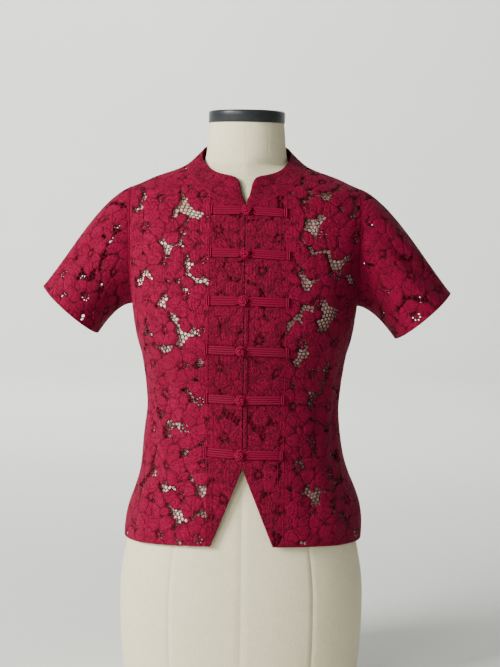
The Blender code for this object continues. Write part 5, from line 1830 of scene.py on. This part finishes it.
def finished(piece, node, paint):
    """A piece in its material, in the place of its CAD node."""
    piece.data.materials.clear()
    piece.data.materials.append(paint)
    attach(piece, "root")
    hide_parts(node)
    return piece


def declared(outline):
    """Works out the size and area of the piece as cut, and does nothing more with them."""
    size = (outline.max(axis=0) - outline.min(axis=0)) * MM
    cut = abs(area_of(outline)) * MM * MM


def sewn_on(pieces, paint):
    """Seams and folds of lace that stand for no node of their own."""
    for piece in pieces:
        piece.data.materials.append(paint)
        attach(piece, "root")


def front_and_facing(side, name, cloth, front_paint, facing_finish):
    """One front, and the facing that lies behind its opening edge."""
    outline = inset(front_flat(cloth, front_outline(), side), SEAM_GAP / 2)
    front = lace(f"{name}_lace", name, cloth, outline, open_spots(name, cloth, side))
    finished(front, name, front_paint)
    declared(outline)
    facing = name.replace("front", "facing")
    outline = inset(front_flat(cloth, front_outline(FACING_WIDTHS[name]), side), FACING_INSET)
    behind = -(WALL / 2 + FACING_GAP)
    piece = plain_cloth(f"{facing}_lace", cloth, outline, behind - FACING_WALL, behind)
    finished(piece, facing, facing_finish)
    declared(outline)


def build():
    lace_finish, facing_finish = lace_paint("corded lace"), facing_paint()
    front_finish = {}
    for name, wide in FACING_WIDTHS.items():
        front_finish[name] = lace_paint(f"corded lace {name}", doubled=wide)
    collar_finish = lace_paint("corded lace of two layers", doubled=COLLAR_TOP_HALF_WIDTH * 10)
    form = finished(dress_form(), "dress_form", linen_paint())
    finished(neck_cap(), "neck_cap", cap_paint())
    fronts, sewn = {}, []
    for side, name in ((1, "front_left"), (-1, "front_right")):
        fronts[side] = front_cloth(name, side)
        sewn += front_lines(side, FACING_WIDTHS[name], fronts[side])
        front_and_facing(side, name, fronts[side], front_finish[name], facing_finish)
    cloth = back_cloth("back")
    sewn += seams(fronts, cloth)
    outline = back_flat(cloth)
    piece = finished(lace("back_lace", "back", cloth, outline), "back", lace_finish)
    declared(outline)
    for side, name in ((1, "sleeve_left"), (-1, "sleeve_right")):
        cloth = sleeve_cloth(name, side)
        sewn += sleeve_seams(name, cloth)
        for half, first in sleeve_halves(side):
            outline = sleeve_flat(cloth, first)
            piece = lace(f"{name}_{half}_lace", name, cloth, outline)
            finished(piece, f"{name}_{half}", lace_finish)
            declared(outline)
    cloth = collar_cloth("collar")
    outline = collar_flat(cloth)
    piece = lace("collar_lace", "collar", cloth, outline, openwork=False, inner=COLLAR_INNER)
    finished(piece, "collar", collar_finish)
    declared(outline)
    sewn += neck_seams(cloth)
    sewn_on(front_fold(fronts[1]), front_finish["front_left"])
    sewn_on(sewn, seam_paint())
    cord_finish = trim_paint()
    for piece, node in frogs(fronts[1], fronts[-1]):
        finished(piece, node, cord_finish)


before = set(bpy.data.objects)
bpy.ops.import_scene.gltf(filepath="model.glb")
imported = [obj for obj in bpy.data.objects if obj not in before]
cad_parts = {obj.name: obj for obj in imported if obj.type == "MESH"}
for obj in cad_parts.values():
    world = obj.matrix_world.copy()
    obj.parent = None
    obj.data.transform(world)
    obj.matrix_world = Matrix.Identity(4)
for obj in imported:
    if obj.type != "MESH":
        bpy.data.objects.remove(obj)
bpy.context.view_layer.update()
build()
studio()
